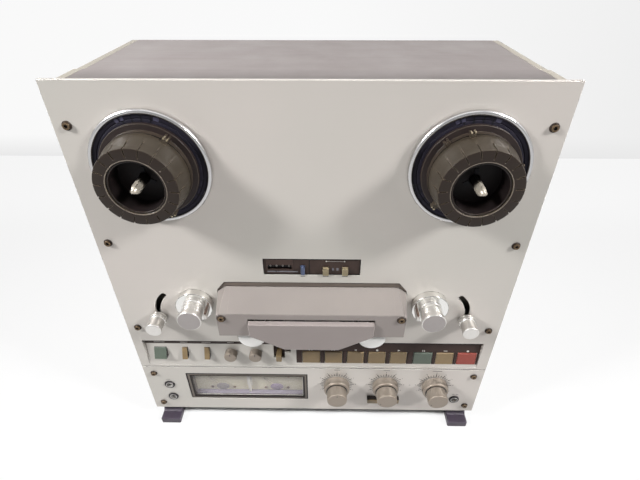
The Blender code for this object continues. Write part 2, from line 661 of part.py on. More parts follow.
def plate(name, loops, outs, colour=None, across=False):
    """Outlines filled and extruded: (x, up) along out, or (out, up) along x when across is set."""
    curve = bpy.data.curves.new(name, "CURVE")
    curve.dimensions = "2D"
    curve.fill_mode = "BOTH"
    curve.extrude = (outs[1] - outs[0]) / 2
    for loop in loops:
        spline = curve.splines.new("POLY")
        spline.points.add(len(loop) - 1)
        for point, (first, second) in zip(spline.points, loop):
            point.co = (first, second, 0, 1)
        spline.use_cyclic_u = True
    guide = bpy.data.objects.new(name + "_outline", curve)
    scene.collection.objects.link(guide)
    bpy.context.view_layer.update()
    graph = bpy.context.evaluated_depsgraph_get()
    flat = bpy.data.meshes.new_from_object(guide.evaluated_get(graph))
    solid = bmesh.new()
    solid.from_mesh(flat)
    bpy.data.objects.remove(guide, do_unlink=True)
    bpy.data.meshes.remove(flat)
    bmesh.ops.remove_doubles(solid, verts=solid.verts, dist=MERGE)
    bmesh.ops.dissolve_limit(solid, angle_limit=math.radians(1), verts=solid.verts, edges=solid.edges)
    place = Matrix.Translation((0, 0, sum(outs) / 2))
    if across:
        swap = Matrix(((0, 0, 1, 0), (0, 1, 0, 0), (1, 0, 0, 0), (0, 0, 0, 1)))
        place = swap @ place
    bmesh.ops.transform(solid, matrix=place, verts=solid.verts)
    return add_object(name, mesh_from(name, solid), PARTS if colour else CUTTERS, colour)


def loft(name, sections, colour=None):
    """A solid through outlines with the same number of points, given as (outline, out) pairs."""
    solid = bmesh.new()
    rings = [[solid.verts.new((x, up, out)) for x, up in loop] for loop, out in sections]
    solid.faces.new(rings[0])
    solid.faces.new(rings[-1])
    for rear, near in zip(rings, rings[1:]):
        for index in range(len(rear)):
            following = (index + 1) % len(rear)
            solid.faces.new((rear[index], rear[following], near[following], near[index]))
    return add_object(name, mesh_from(name, solid), PARTS if colour else CUTTERS, colour)


def box_loop(xs, ups):
    return [(xs[0], ups[0]), (xs[1], ups[0]), (xs[1], ups[1]), (xs[0], ups[1])]


def round_loop(centre, radius, steps=MEDIUM):
    return [
        (centre[0] + radius * math.cos(step * math.tau / steps),
         centre[1] + radius * math.sin(step * math.tau / steps))
        for step in range(steps)]


def arc(centre, radius, start, end, steps):
    return [
        (centre[0] + radius * math.cos(start + (end - start) * step / steps),
         centre[1] + radius * math.sin(start + (end - start) * step / steps))
        for step in range(steps + 1)]


def stadium(first, second, radius, steps=6):
    """A bar with round ends from one centre to another."""
    angle = math.atan2(second[1] - first[1], second[0] - first[0])
    quarter = math.pi / 2
    return (arc(second, radius, angle - quarter, angle + quarter, steps)
            + arc(first, radius, angle + quarter, angle + 3 * quarter, steps))


def arc_slot(centre, radius, width, start, end, steps=8):
    """A slot of even width that follows an arc, with round ends."""
    half = width / 2
    outer = arc(centre, radius + half, start, end, steps)
    inner = arc(centre, radius - half, end, start, steps)
    tip = (centre[0] + radius * math.cos(end), centre[1] + radius * math.sin(end))
    root = (centre[0] + radius * math.cos(start), centre[1] + radius * math.sin(start))
    tip_round = arc(tip, half, end, end + math.pi, 5)[1:-1]
    root_round = arc(root, half, start + math.pi, start + math.tau, 5)[1:-1]
    return outer + tip_round + inner + root_round


def mirrored(loop, side):
    return [(side * x, up) for x, up in loop]


def carve(made, cutter, operation="DIFFERENCE"):
    change = made.modifiers.new(cutter.name, "BOOLEAN")
    change.operation = operation
    change.solver = "EXACT"
    change.object = cutter
    return made


def unite(made, other):
    """Adds the other solid to this one; the other becomes a hidden tool."""
    for group in list(other.users_collection):
        group.objects.unlink(other)
    CUTTERS.objects.link(other)
    other.hide_render = True
    other.display_type = "WIRE"
    return carve(made, other, "UNION")


def chamfer(made, width, steps=BEVEL_STEPS, angle=40):
    edge = made.modifiers.new("edges", "BEVEL")
    edge.width = width
    edge.segments = steps
    edge.limit_method = "ANGLE"
    edge.angle_limit = math.radians(angle)
    return soften(made)


def spokes(name, count, inner, outer, width, outs, start):
    """Boxes that stand radially round the axis, as one tool mesh."""
    solid = bmesh.new()
    for index in range(count):
        made = bmesh.ops.create_cube(solid, size=1)
        size = Matrix.Diagonal((outer - inner, width, outs[1] - outs[0], 1))
        shift = Matrix.Translation(((outer + inner) / 2, 0, sum(outs) / 2))
        turn = Matrix.Rotation(start + index * math.tau / count, 4, "Z")
        bmesh.ops.transform(solid, matrix=turn @ shift @ size, verts=made["verts"])
    return mesh_from(name, solid)


def place_tool(name, mesh, centre):
    made = add_object(name, mesh, CUTTERS)
    made.location = (centre[0], centre[1], 0)
    return made


def pivot(made, point):
    """Hangs a finished piece from an empty on its joint's axis."""
    axis = bpy.data.objects.new(made.name + "_axis", None)
    axis.location = point
    axis.parent = FRONT
    PARTS.objects.link(axis)
    made.parent = axis
    made.location = made.location - Vector(point)
    return made


def side_name(name, side):
    return f"{name}_{'left' if side < 0 else 'right'}"


def head_cut_loop(inset, drop):
    """The chamfered opening that shows the head block, or a plate that fits in it."""
    half = HEAD_CUT_HALF - inset
    shoulder = HEAD_CUT_SHOULDER_HALF - inset
    bottom = HEAD_CUT_BOTTOM + inset
    side_top = HEAD_CUT_SHOULDER - drop
    top = HEAD_CUT_TOP - drop
    return [(-half, bottom), (half, bottom), (half, side_top), (shoulder, top), (-shoulder, top),
            (-half, side_top)]


def make_deck_panel():
    half = PANEL_WIDTH / 2
    bottom = PANEL_SPLIT + PANEL_SPLIT_GAP / 2
    panel = block("deck_panel", (-half, half), (bottom, PANEL_HEIGHT), (PANEL_BACK, 0), "silver")
    chamfer(panel, PANEL_EDGE)
    loops = [
        head_cut_loop(0, 0),
        box_loop((COUNTER_LEFT, COUNTER_RIGHT), (COUNTER_BOTTOM, COUNTER_TOP)),
        box_loop((STRIP_LEFT, STRIP_RIGHT), (STRIP_BOTTOM, STRIP_TOP))]
    for side in (-1, 1):
        loops.append(round_loop((side * REEL_X, REEL_UP), REEL_HOLE_RADIUS, COARSE))
        loops.append(round_loop((side * GUIDE_X, GUIDE_UP), GUIDE_DISC_RADIUS + GAP))
        slot = arc_slot((TENSION_PIVOT_X, TENSION_PIVOT_UP), TENSION_RADIUS, TENSION_SLOT_WIDTH,
                        TENSION_REST_ANGLE - TENSION_SLOT_MARGIN, SLOT_END_ANGLE)
        loops.append(mirrored(slot, side))
    carve(panel, plate("deck_openings", loops, (PANEL_BACK - OVERRUN, OVERRUN)))


def make_amp_panel():
    half = PANEL_WIDTH / 2
    top = PANEL_SPLIT - PANEL_SPLIT_GAP / 2
    panel = block("amp_panel", (-half, half), (0, top), (PANEL_BACK, 0), "silver")
    chamfer(panel, PANEL_EDGE)
    seat = (JACK_BORE + JACK_BARREL_RADIUS) / 2
    holes = [round_loop(centre, seat, TINY) for centre in JACKS]
    carve(panel, plate("jack_holes", holes, (PANEL_BACK - OVERRUN, OVERRUN)))
    end = -JACK_DEPTH - JACK_END_WALL
    for number, centre in enumerate(JACKS):
        unite(panel, turned(f"jack_{number}", centre, [
            (0, -JACK_DEPTH), (JACK_BORE, -JACK_DEPTH), (JACK_BORE, JACK_NUT_OUT),
            (JACK_NUT_RADIUS, JACK_NUT_OUT), (JACK_NUT_RADIUS, PANEL_BACK / 2),
            (JACK_BARREL_RADIUS, PANEL_BACK / 2), (JACK_BARREL_RADIUS, end), (0, end)], "silver", COARSE))
    loops = [box_loop((METER_LEFT, METER_RIGHT), (METER_BOTTOM, METER_TOP))]
    for _, x in LEVEL_KNOBS:
        loops.append(round_loop((x, LEVEL_UP), level_sleeve_radius() + GAP, COARSE))
    for _, x in MONITOR_BUTTONS:
        half_width = MONITOR_WIDTH / 2 + BUTTON_SIDE_GAP
        loops.append(box_loop((x - half_width, x + half_width),
                              (MONITOR_BOTTOM - BUTTON_SIDE_GAP, MONITOR_TOP + BUTTON_SIDE_GAP)))
    carve(panel, plate("amp_openings", loops, (PANEL_BACK - OVERRUN, OVERRUN)))


def make_case():
    inner = INNER_HALF - GAP
    step_half = inner + SIDE_LIP_INSET
    back = -CASE_DEPTH
    lip_out = -SIDE_LIP_DEPTH
    front = PANEL_BACK - GAP
    under = COVER_TOP - COVER_THICKNESS
    cover = block("top_cover", (-inner, inner), (under, COVER_TOP), (back, front), "cover")
    unite(cover, block("cover_front_part", (-step_half, step_half), (under, COVER_TOP),
                       (lip_out + GAP, front), "cover"))
    for side in (-1, 1):
        edges = sorted((side * inner, side * (inner - COVER_THICKNESS)))
        unite(cover, block(side_name("cover_flange", side), edges,
                           (under - COVER_FLANGE, COVER_TOP - COVER_THICKNESS / 2), (back, front), "cover"))
    rear_half = CASE_WIDTH / 2
    front_half = rear_half + SIDE_LIP
    for side in (-1, 1):
        outline = [(back, INNER_HALF), (back, rear_half), (lip_out, rear_half), (lip_out, front_half),
                   (front, front_half), (front, INNER_HALF + SIDE_LIP_INSET),
                   (lip_out, INNER_HALF + SIDE_LIP_INSET), (lip_out, INNER_HALF)]
        made = plate(side_name("side_panel", side), [outline], (0, COVER_TOP), "beige")
        lay = Matrix(((0, side, 0, 0), (0, 0, 1, 0), (1, 0, 0, 0), (0, 0, 0, 1)))
        solid = bmesh.new()
        solid.from_mesh(made.data)
        bmesh.ops.transform(solid, matrix=lay, verts=solid.verts)
        bmesh.ops.recalc_face_normals(solid, faces=solid.faces)
        solid.to_mesh(made.data)
        solid.free()
        chamfer(made, SIDE_EDGE, 1)


def make_rear_panel():
    half = INNER_HALF - GAP * 2 - COVER_THICKNESS
    outer = -(CASE_DEPTH - REAR_INSET)
    inner = outer + REAR_THICKNESS
    top = COVER_TOP - COVER_THICKNESS - GAP
    rear = block("rear_panel", (-half, half), (0, top), (outer, inner), "steel")
    for number in range(VENT_COUNT):
        x = (number - (VENT_COUNT - 1) / 2) * VENT_PITCH
        vent = stadium((x, VENT_UP - VENT_HEIGHT / 2), (x, VENT_UP + VENT_HEIGHT / 2), VENT_WIDTH / 2, 3)
        carve(rear, plate(f"vent_{number}", [vent], (outer - OVERRUN, inner + OVERRUN)))
    for side in (-1, 1):
        for number, up in enumerate((BUMPER_INSET, top - BUMPER_INSET)):
            spot = (side * (half - BUMPER_INSET), up)
            unite(rear, rod(f"{side_name('bumper', side)}_{number}", spot, BUMPER_TIP_RADIUS,
                            (outer - BUMPER_LENGTH, outer + REAR_THICKNESS / 2),
                            "rubber", COARSE, BUMPER_RADIUS))
    for row in range(SOCKET_ROWS):
        for column in range(SOCKET_COLUMNS):
            centre = (SOCKET_FIELD_X + column * SOCKET_PITCH, SOCKET_FIELD_UP + row * SOCKET_PITCH)
            name = f"socket_{row}_{column}"
            unite(rear, rod(name, centre, SOCKET_RADIUS, (outer - SOCKET_LENGTH, inner - REAR_THICKNESS / 2),
                            "steel", TINY))
            carve(rear, rod(name + "_bore", centre, SOCKET_BORE, (outer - SOCKET_LENGTH - OVERRUN, outer),
                            steps=TINY))
    half_width = INLET_WIDTH / 2
    box_half = half_width + INLET_WALL
    ups = (INLET_UP - INLET_HEIGHT / 2, INLET_UP + INLET_HEIGHT / 2)
    unite(rear, block("inlet_box", (INLET_X - box_half, INLET_X + box_half),
                      (ups[0] - INLET_WALL, ups[1] + INLET_WALL),
                      (outer + REAR_THICKNESS / 2, outer + INLET_DEPTH + INLET_WALL), "black"))
    carve(rear, block("inlet_hollow", (INLET_X - half_width, INLET_X + half_width), ups,
                      (outer - OVERRUN, outer + INLET_DEPTH)))


def make_feet():
    rear = -(CASE_DEPTH - FOOT_REAR_INSET)
    outline = [(FOOT_TOE, -FOOT_HEIGHT), (FOOT_TOE, -FOOT_TOE_DROP), (PANEL_BACK, -FOOT_TOE_DROP),
               (PANEL_BACK - FOOT_TOE_SLOPE, -GAP), (rear, -GAP), (rear, -FOOT_HEIGHT)]
    for side in (-1, 1):
        xs = sorted((side * (FOOT_X - FOOT_WIDTH / 2), side * (FOOT_X + FOOT_WIDTH / 2)))
        chamfer(plate(side_name("foot", side), [outline], xs, "rubber", across=True), FOOT_EDGE, 1)


def make_chassis():
    wide = INNER_HALF - BULKHEAD_EDGE_GAP
    top = COVER_TOP - COVER_THICKNESS - GAP
    tray_half = INNER_HALF - GAP
    tray_front = PANEL_BACK - GAP
    tray_back = -(CASE_DEPTH - REAR_INSET - REAR_THICKNESS - GAP)
    frame = plate("chassis", [
        box_loop((-wide, wide), (BULKHEAD_BOTTOM, top)),
        box_loop((COUNTER_LEFT - OVERRUN, COUNTER_RIGHT + OVERRUN),
                 (COUNTER_BOTTOM - OVERRUN, COUNTER_TOP + OVERRUN))], (BULKHEAD_BACK, BULKHEAD_OUT), "steel")
    unite(frame, block("tray", (-tray_half, tray_half), (0, TRAY_THICKNESS),
                       (tray_back, tray_front), "steel"))
    unite(frame, block("tray_lip", (-tray_half, tray_half), (TRAY_THICKNESS / 2, TRAY_LIP),
                       (tray_front - TRAY_THICKNESS, tray_front), "steel"))
    unite(frame, block("tray_rear_lip", (-tray_half + COVER_THICKNESS, tray_half - COVER_THICKNESS),
                       (TRAY_THICKNESS / 2, TRAY_LIP), (tray_back, tray_back + TRAY_THICKNESS), "steel"))
    for side in (-1, 1):
        edges = sorted((side * wide, side * (wide - RIB_THICKNESS)))
        unite(frame, block(side_name("rib", side), edges, (TRAY_THICKNESS / 2, top - TRAY_THICKNESS / 2),
                           (-RIB_DEPTH, BULKHEAD_BACK + BULKHEAD_THICKNESS / 2), "steel"))
        for number, up in enumerate(PANEL_SCREW_UPS):
            edges = sorted((side * (INNER_HALF - GAP), side * (wide - RIB_THICKNESS - POST_RADIUS)))
            unite(frame, block(f"post_{number}_{side}", edges, (up - POST_RADIUS, up + POST_RADIUS),
                               (BULKHEAD_BACK + BULKHEAD_THICKNESS / 3, PANEL_BACK - GAP), "steel"))
        reel = (side * REEL_X, REEL_UP)
        motor_back = BULKHEAD_BACK - MOTOR_LENGTH
        motor_root = BULKHEAD_BACK + BULKHEAD_THICKNESS / 2
        motor = [(0, motor_root), (MOTOR_RADIUS, motor_root),
                 (MOTOR_RADIUS, motor_back), (MOTOR_COLLAR_RADIUS, motor_back),
                 (MOTOR_COLLAR_RADIUS, motor_back - SHAFT_RADIUS), (0, motor_back - SHAFT_RADIUS)]
        unite(frame, turned(side_name("reel_motor", side), reel, motor, "steel", COARSE))
        carve(frame, rod(side_name("reel_bore", side), reel, SHAFT_RADIUS + RUNNING_GAP,
                         (-SHAFT_DEPTH - RUNNING_GAP, OVERRUN), steps=COARSE))
        stem_root = BULKHEAD_OUT - BULKHEAD_THICKNESS / 2
        disc = [(0, GUIDE_POST_OUT), (GUIDE_POST_RADIUS, GUIDE_POST_OUT), (GUIDE_POST_RADIUS, GUIDE_DISC_OUT),
                (GUIDE_DISC_RADIUS, GUIDE_DISC_OUT), (GUIDE_DISC_RADIUS, PANEL_BACK + GAP),
                (GUIDE_STEM_RADIUS, PANEL_BACK + GAP), (GUIDE_STEM_RADIUS, stem_root), (0, stem_root)]
        unite(frame, turned(side_name("guide_stem", side), (side * GUIDE_X, GUIDE_UP), disc, "steel"))
        pin_x = GUIDE_X - GUIDE_CAP_RADIUS - SENSOR_PIN_RADIUS - RUNNING_GAP
        unite(frame, rod(side_name("sensor_pin", side), (side * pin_x, GUIDE_UP), SENSOR_PIN_RADIUS,
                         (GUIDE_DISC_OUT / 2, SENSOR_PIN_OUT), "steel", TINY))
        unite(frame, rod(side_name("tension_pivot", side), (side * TENSION_PIVOT_X, TENSION_PIVOT_UP),
                         TENSION_PIVOT_RADIUS, (motor_root, TENSION_ARM_OUT + GAP), "steel", COARSE))
        capstan = (side * CAPSTAN_X, CAPSTAN_UP)
        unite(frame, rod(side_name("rear_bearing", side), capstan, CAPSTAN_BOSS_RADIUS,
                         (BULKHEAD_BACK - FLYWHEEL_SETBACK + GAP, stem_root),
                         "steel", TINY))
        carve(frame, rod(side_name("rear_bearing_bore", side), capstan, CAPSTAN_RADIUS + RUNNING_GAP,
                         (BULKHEAD_BACK - FLYWHEEL_SETBACK - OVERRUN, BULKHEAD_OUT + OVERRUN), steps=COARSE))
        strut = (side * CAPSTAN_MOTOR_RADIUS / 2, CAPSTAN_MOTOR_UP + CAPSTAN_MOTOR_RADIUS / 2)
        unite(frame, rod(side_name("motor_strut", side), strut, POST_RADIUS,
                         (-RIB_DEPTH - POST_RADIUS, motor_root), "steel", TINY))
    unite(frame, rod("capstan_motor", (0, CAPSTAN_MOTOR_UP), CAPSTAN_MOTOR_RADIUS,
                     (-RIB_DEPTH - CAPSTAN_MOTOR_LENGTH, -RIB_DEPTH), "steel", COARSE))


def lobed_loop(centre, share):
    """The spindle's section: a round core with lobes that key the hub, at a share of its size."""
    core = SPINDLE_CORE_RADIUS * share
    tip = SPINDLE_LOBE_RADIUS * share
    root_half = math.asin(SPINDLE_LOBE_WIDTH * share / 2 / core)
    tip_half = math.asin(SPINDLE_LOBE_WIDTH * share / 2 / tip)
    turn = math.tau / LOBE_COUNT
    loop = []
    for index in range(LOBE_COUNT):
        angle = math.pi / 2 + index * turn
        loop += arc(centre, tip, angle - tip_half, angle + tip_half, 1)
        loop += arc(centre, core, angle + root_half, angle + turn - root_half, 3)
    return loop


def make_reel(side):
    """A reel table on its motor shaft, and the removable hub with its locking ring."""
    centre = (side * REEL_X, REEL_UP)
    base_angle = LEFT_KEY_ANGLE if side < 0 else RIGHT_BASE_KEY_ANGLE
    ring_angle = LEFT_KEY_ANGLE if side < 0 else RIGHT_RING_KEY_ANGLE
    rim_inner = TABLE_RADIUS - TABLE_RIM_WIDTH
    table = turned(side_name("reel_table", side), centre, [
        (0, TABLE_FACE), (rim_inner, TABLE_FACE), (rim_inner + TABLE_RIM_ROUND, TABLE_RIM_OUT),
        (TABLE_RADIUS - TABLE_RIM_ROUND, TABLE_RIM_OUT),
        (TABLE_RADIUS, TABLE_RIM_OUT - TABLE_RIM_ROUND), (TABLE_RADIUS, TABLE_BACK),
        (SHAFT_RADIUS, TABLE_BACK), (SHAFT_RADIUS, -SHAFT_DEPTH), (0, -SHAFT_DEPTH)], "polished", FINE)
    point = SPINDLE_TIP - SPINDLE_POINT
    unite(table, loft(side_name("spindle", side), [
        (lobed_loop(centre, 1), TABLE_FACE / 2), (lobed_loop(centre, 1), point),
        (lobed_loop(centre, SPINDLE_TIP_SHARE), SPINDLE_TIP)], "polished"))
    spindle_bore = SPINDLE_LOBE_RADIUS + RUNNING_GAP
    tube = HUB_CUP_RADIUS - GAP
    tube_inner = tube - HUB_TUBE_WALL
    tube_out = HUB_FRONT_OUT - HUB_TUBE_SETBACK
    seam = HUB_SEAM_OUT - GAP
    base = turned(side_name("hub_base", side), centre, [
        (spindle_bore, HUB_CUP_FLOOR), (tube_inner, HUB_CUP_FLOOR), (tube_inner, tube_out), (tube, tube_out),
        (tube, seam), (HUB_RADIUS, seam), (HUB_RADIUS, HUB_FLANGE_OUT), (HUB_FLANGE_RADIUS, HUB_FLANGE_OUT),
        (HUB_FLANGE_RADIUS, HUB_BACK), (spindle_bore, HUB_BACK)], "hub", FINE, closed=True)
    ring = turned(side_name("hub_ring", side), centre, [
        (HUB_CUP_RADIUS, HUB_FRONT_OUT), (HUB_FRONT_RADIUS - HUB_FRONT_ROUND, HUB_FRONT_OUT),
        (HUB_FRONT_RADIUS, HUB_FRONT_OUT - HUB_FRONT_ROUND), (HUB_FRONT_RADIUS, HUB_SHOULDER_OUT),
        (HUB_RADIUS, HUB_SEAM_OUT + HUB_RING_KEY_LENGTH), (HUB_RADIUS, HUB_SEAM_OUT),
        (HUB_CUP_RADIUS, HUB_SEAM_OUT)], "hub", FINE, closed=True)
    for index in range(KEY_COUNT):
        step = index * math.tau / KEY_COUNT
        inner = HUB_RADIUS - HUB_KEY_OVERLAP
        key = spokes(f"{side_name('base_key', side)}_{index}", 1, inner, HUB_KEY_REACH, HUB_KEY_WIDTH,
                     (HUB_SEAM_OUT - GAP - HUB_BASE_KEY_LENGTH, HUB_SEAM_OUT - GAP), base_angle + step)
        carve(base, place_tool(key.name, key, centre), "UNION")
        key = spokes(f"{side_name('ring_key', side)}_{index}", 1, inner, HUB_KEY_REACH, HUB_KEY_WIDTH,
                     (HUB_SEAM_OUT, HUB_SEAM_OUT + HUB_RING_KEY_LENGTH), ring_angle + step)
        carve(ring, place_tool(key.name, key, centre), "UNION")
    grooves = spokes(side_name("grooves", side), GROOVE_COUNT, GROOVE_INNER_RADIUS, HUB_RADIUS, GROOVE_WIDTH,
                     (HUB_FRONT_OUT - GROOVE_DEPTH, HUB_FRONT_OUT + OVERRUN), ring_angle)
    carve(ring, place_tool(grooves.name, grooves, centre))


def make_tape_rollers(side):
    pivot_point = (side * TENSION_PIVOT_X, TENSION_PIVOT_UP)
    pin = (side * (TENSION_PIVOT_X + TENSION_RADIUS * math.cos(TENSION_REST_ANGLE)),
           TENSION_PIVOT_UP + TENSION_RADIUS * math.sin(TENSION_REST_ANGLE))
    arm_back = TENSION_ARM_OUT - TENSION_ARM_THICKNESS
    arm = plate(side_name("tension_arm", side), [
        stadium(pivot_point, pin, TENSION_ARM_WIDTH / 2)], (arm_back, TENSION_ARM_OUT), "polished")
    unite(arm, rod(side_name("arm_hub", side), pivot_point, TENSION_HUB_RADIUS,
                   (arm_back - GAP, TENSION_ARM_OUT - GAP), "polished", COARSE))
    arm_middle = (arm_back + TENSION_ARM_OUT) / 2
    unite(arm, turned(side_name("arm_spool", side), pin, [
        (0, SPOOL_FRONT_OUT), (SPOOL_CAP_RADIUS - SPOOL_ROUND, SPOOL_FRONT_OUT),
        (SPOOL_CAP_RADIUS, SPOOL_FRONT_OUT - SPOOL_ROUND), (SPOOL_CAP_RADIUS, SPOOL_CAP_OUT),
        (SPOOL_BODY_RADIUS, SPOOL_CAP_OUT - SPOOL_ROUND), (SPOOL_BODY_RADIUS, SPOOL_BODY_OUT),
        (SPOOL_COLLAR_RADIUS, SPOOL_BODY_OUT - SPOOL_ROUND), (SPOOL_COLLAR_RADIUS, SPOOL_COLLAR_OUT),
        (TENSION_PIN_RADIUS, SPOOL_COLLAR_OUT), (TENSION_PIN_RADIUS, arm_middle), (0, arm_middle)],
        "polished", MEDIUM))
    carve(arm, rod(side_name("arm_bore", side), pivot_point, TENSION_PIVOT_RADIUS + RUNNING_GAP,
                   (arm_back - OVERRUN, OVERRUN), steps=COARSE))
    pivot(arm, (*pivot_point, 0))
    bore = GUIDE_POST_RADIUS + RUNNING_GAP
    back = GUIDE_DISC_OUT + GAP
    turned(side_name("guide_roller", side), (side * GUIDE_X, GUIDE_UP), [
        (0, GUIDE_FRONT_OUT), (GUIDE_CAP_RADIUS - GUIDE_ROUND, GUIDE_FRONT_OUT),
        (GUIDE_CAP_RADIUS, GUIDE_FRONT_OUT - GUIDE_ROUND), (GUIDE_CAP_RADIUS, GUIDE_CAP_OUT),
        (GUIDE_BODY_RADIUS, GUIDE_CAP_OUT), (GUIDE_BODY_RADIUS, GUIDE_GROOVE_OUT),
        (GUIDE_GROOVE_RADIUS, GUIDE_GROOVE_OUT), (GUIDE_GROOVE_RADIUS, GUIDE_COLLAR_OUT),
        (GUIDE_COLLAR_RADIUS, GUIDE_COLLAR_OUT), (GUIDE_COLLAR_RADIUS, back), (bore, back),
        (bore, GUIDE_POST_OUT + RUNNING_GAP), (0, GUIDE_POST_OUT + RUNNING_GAP)], "polished", MEDIUM)


def make_head_block():
    base = plate("head_block", [head_cut_loop(GAP, HEAD_BASE_DROP)],
                 (HEAD_BASE_BACK, HEAD_BASE_FRONT), "steel")
    root = HEAD_BASE_FRONT - HEAD_BASE_THICKNESS / 2
    unite(base, block("head_mount", (-HEAD_BLOCK_HALF, HEAD_BLOCK_HALF),
                      (HEAD_BLOCK_BOTTOM, HEAD_BLOCK_TOP), (root, HEAD_BLOCK_OUT), "steel"))
    nose_half = math.asin(HEAD_WIDTH / 2 / HEAD_NOSE_RADIUS)
    down = -math.pi / 2
    for number, x in enumerate(HEAD_XS):
        middle = (x, TAPE_UP + GAP + HEAD_NOSE_RADIUS)
        nose = arc(middle, HEAD_NOSE_RADIUS, down - nose_half, down + nose_half, 4)
        outline = nose + [(x + HEAD_WIDTH / 2, HEAD_TOP), (x - HEAD_WIDTH / 2, HEAD_TOP)]
        unite(base, plate(f"head_{number}", [outline], (HEAD_BLOCK_OUT / 2, HEAD_FRONT), "steel"))
    guide_up = TAPE_UP + TAPE_GUIDE_RADIUS
    near = TAPE_OUT + TAPE_HALF_WIDTH
    far = TAPE_OUT - TAPE_HALF_WIDTH
    for side in (-1, 1):
        unite(base, turned(side_name("tape_guide", side), (side * TAPE_GUIDE_X, guide_up), [
            (0, near + FLANGE_THICKNESS), (TAPE_GUIDE_FLANGE_RADIUS, near + FLANGE_THICKNESS),
            (TAPE_GUIDE_FLANGE_RADIUS, near), (TAPE_GUIDE_RADIUS, near), (TAPE_GUIDE_RADIUS, far),
            (TAPE_GUIDE_FLANGE_RADIUS, far), (TAPE_GUIDE_FLANGE_RADIUS, far - FLANGE_THICKNESS),
            (TAPE_GUIDE_RADIUS, far - FLANGE_THICKNESS), (TAPE_GUIDE_RADIUS, root), (0, root)],
            "steel", TINY))
        capstan = (side * CAPSTAN_X, CAPSTAN_UP)
        unite(base, rod(side_name("front_bearing", side), capstan, CAPSTAN_BOSS_RADIUS,
                        (root, CAPSTAN_BOSS_OUT), "steel", COARSE))
        carve(base, rod(side_name("front_bearing_bore", side), capstan, CAPSTAN_RADIUS + RUNNING_GAP,
                        (HEAD_BASE_BACK - OVERRUN, CAPSTAN_BOSS_OUT + OVERRUN), steps=COARSE))
        unite(base, rod(side_name("pinch_pivot", side), (side * PINCH_PIVOT_X, PINCH_PIVOT_UP),
                        PINCH_PIVOT_RADIUS, (root, HEAD_BASE_FRONT + PINCH_ARM_THICKNESS + GAP * 2),
                        "steel", COARSE))
        standoff_ups = (HEAD_CUT_BOTTOM + POST_RADIUS + GAP * 2, HEAD_CUT_SHOULDER - HEAD_BASE_DROP)
        for number, up in enumerate(standoff_ups):
            spot = (side * (PINCH_PIVOT_X - POST_RADIUS), up)
            unite(base, rod(f"{side_name('standoff', side)}_{number}", spot, POST_RADIUS,
                            (BULKHEAD_OUT + GAP, root), "steel", TINY))


def make_capstan(side):
    wheel_front = BULKHEAD_BACK - FLYWHEEL_SETBACK
    wheel_back = wheel_front - FLYWHEEL_THICKNESS
    web_back = wheel_front - FLYWHEEL_WEB
    tip_round = GAP * 2
    turned(side_name("capstan", side), (side * CAPSTAN_X, CAPSTAN_UP), [
        (0, CAPSTAN_TIP), (CAPSTAN_RADIUS - tip_round, CAPSTAN_TIP),
        (CAPSTAN_RADIUS, CAPSTAN_TIP - tip_round),
        (CAPSTAN_RADIUS, wheel_front), (FLYWHEEL_RADIUS, wheel_front), (FLYWHEEL_RADIUS, wheel_back),
        (FLYWHEEL_RADIUS - FLYWHEEL_RIM, wheel_back), (FLYWHEEL_RADIUS - FLYWHEEL_RIM, web_back),
        (CAPSTAN_BOSS_RADIUS, web_back), (CAPSTAN_BOSS_RADIUS, wheel_back), (CAPSTAN_RADIUS, wheel_back),
        (CAPSTAN_RADIUS, wheel_back - CAPSTAN_TAIL), (0, wheel_back - CAPSTAN_TAIL)], "polished", MEDIUM)


def make_pinch(side):
    hinge = (side * PINCH_PIVOT_X, PINCH_PIVOT_UP)
    axle = (side * PINCH_X, PINCH_UP)
    back = HEAD_BASE_FRONT + GAP
    front = back + PINCH_ARM_THICKNESS
    arm = plate(side_name("pinch_arm", side), [stadium(hinge, axle, PINCH_ARM_WIDTH / 2)],
                (back, front), "steel")
    unite(arm, rod(side_name("pinch_pin", side), axle, PINCH_PIN_RADIUS,
                   (front - PINCH_ARM_THICKNESS / 2, PINCH_PIN_OUT), "steel", COARSE))
    carve(arm, rod(side_name("pinch_arm_bore", side), hinge, PINCH_PIVOT_RADIUS + RUNNING_GAP,
                   (back - OVERRUN, front + OVERRUN), steps=COARSE))
    pivot(arm, (*hinge, 0))
    bore = PINCH_PIN_RADIUS + RUNNING_GAP
    turned(side_name("pinch_roller", side), axle, [
        (0, PINCH_FRONT_OUT), (PINCH_CAP_RADIUS - PINCH_ROUND, PINCH_FRONT_OUT),
        (PINCH_CAP_RADIUS, PINCH_FRONT_OUT - PINCH_ROUND), (PINCH_CAP_RADIUS, PINCH_CAP_OUT),
        (PINCH_RADIUS, PINCH_CAP_OUT), (PINCH_RADIUS, PINCH_TYRE_OUT), (PINCH_SLEEVE_RADIUS, PINCH_TYRE_OUT),
        (PINCH_SLEEVE_RADIUS, front + GAP), (bore, front + GAP), (bore, PINCH_PIN_OUT + RUNNING_GAP),
        (0, PINCH_PIN_OUT + RUNNING_GAP)], "white", MEDIUM)


def housing_loop(out, inset, bottom):
    """The head housing's outline at a height out of the panel; it tapers toward the front."""
    back = HEAD_BASE_FRONT + GAP
    share = (out - back) / (HOUSING_FRONT - back)

    def between(rear, near):
        return rear + (near - rear) * share

    half = between(HOUSING_REAR_HALF, HOUSING_FRONT_HALF) - inset
    shoulder_half = between(HOUSING_REAR_SHOULDER_HALF, HOUSING_FRONT_SHOULDER_HALF) - inset
    shoulder = between(HOUSING_REAR_SHOULDER, HOUSING_FRONT_SHOULDER) - inset
    top = between(HOUSING_REAR_TOP, HOUSING_FRONT_TOP) - inset
    return [(-half, bottom), (half, bottom), (half, shoulder), (shoulder_half, top), (-shoulder_half, top),
            (-half, shoulder)]


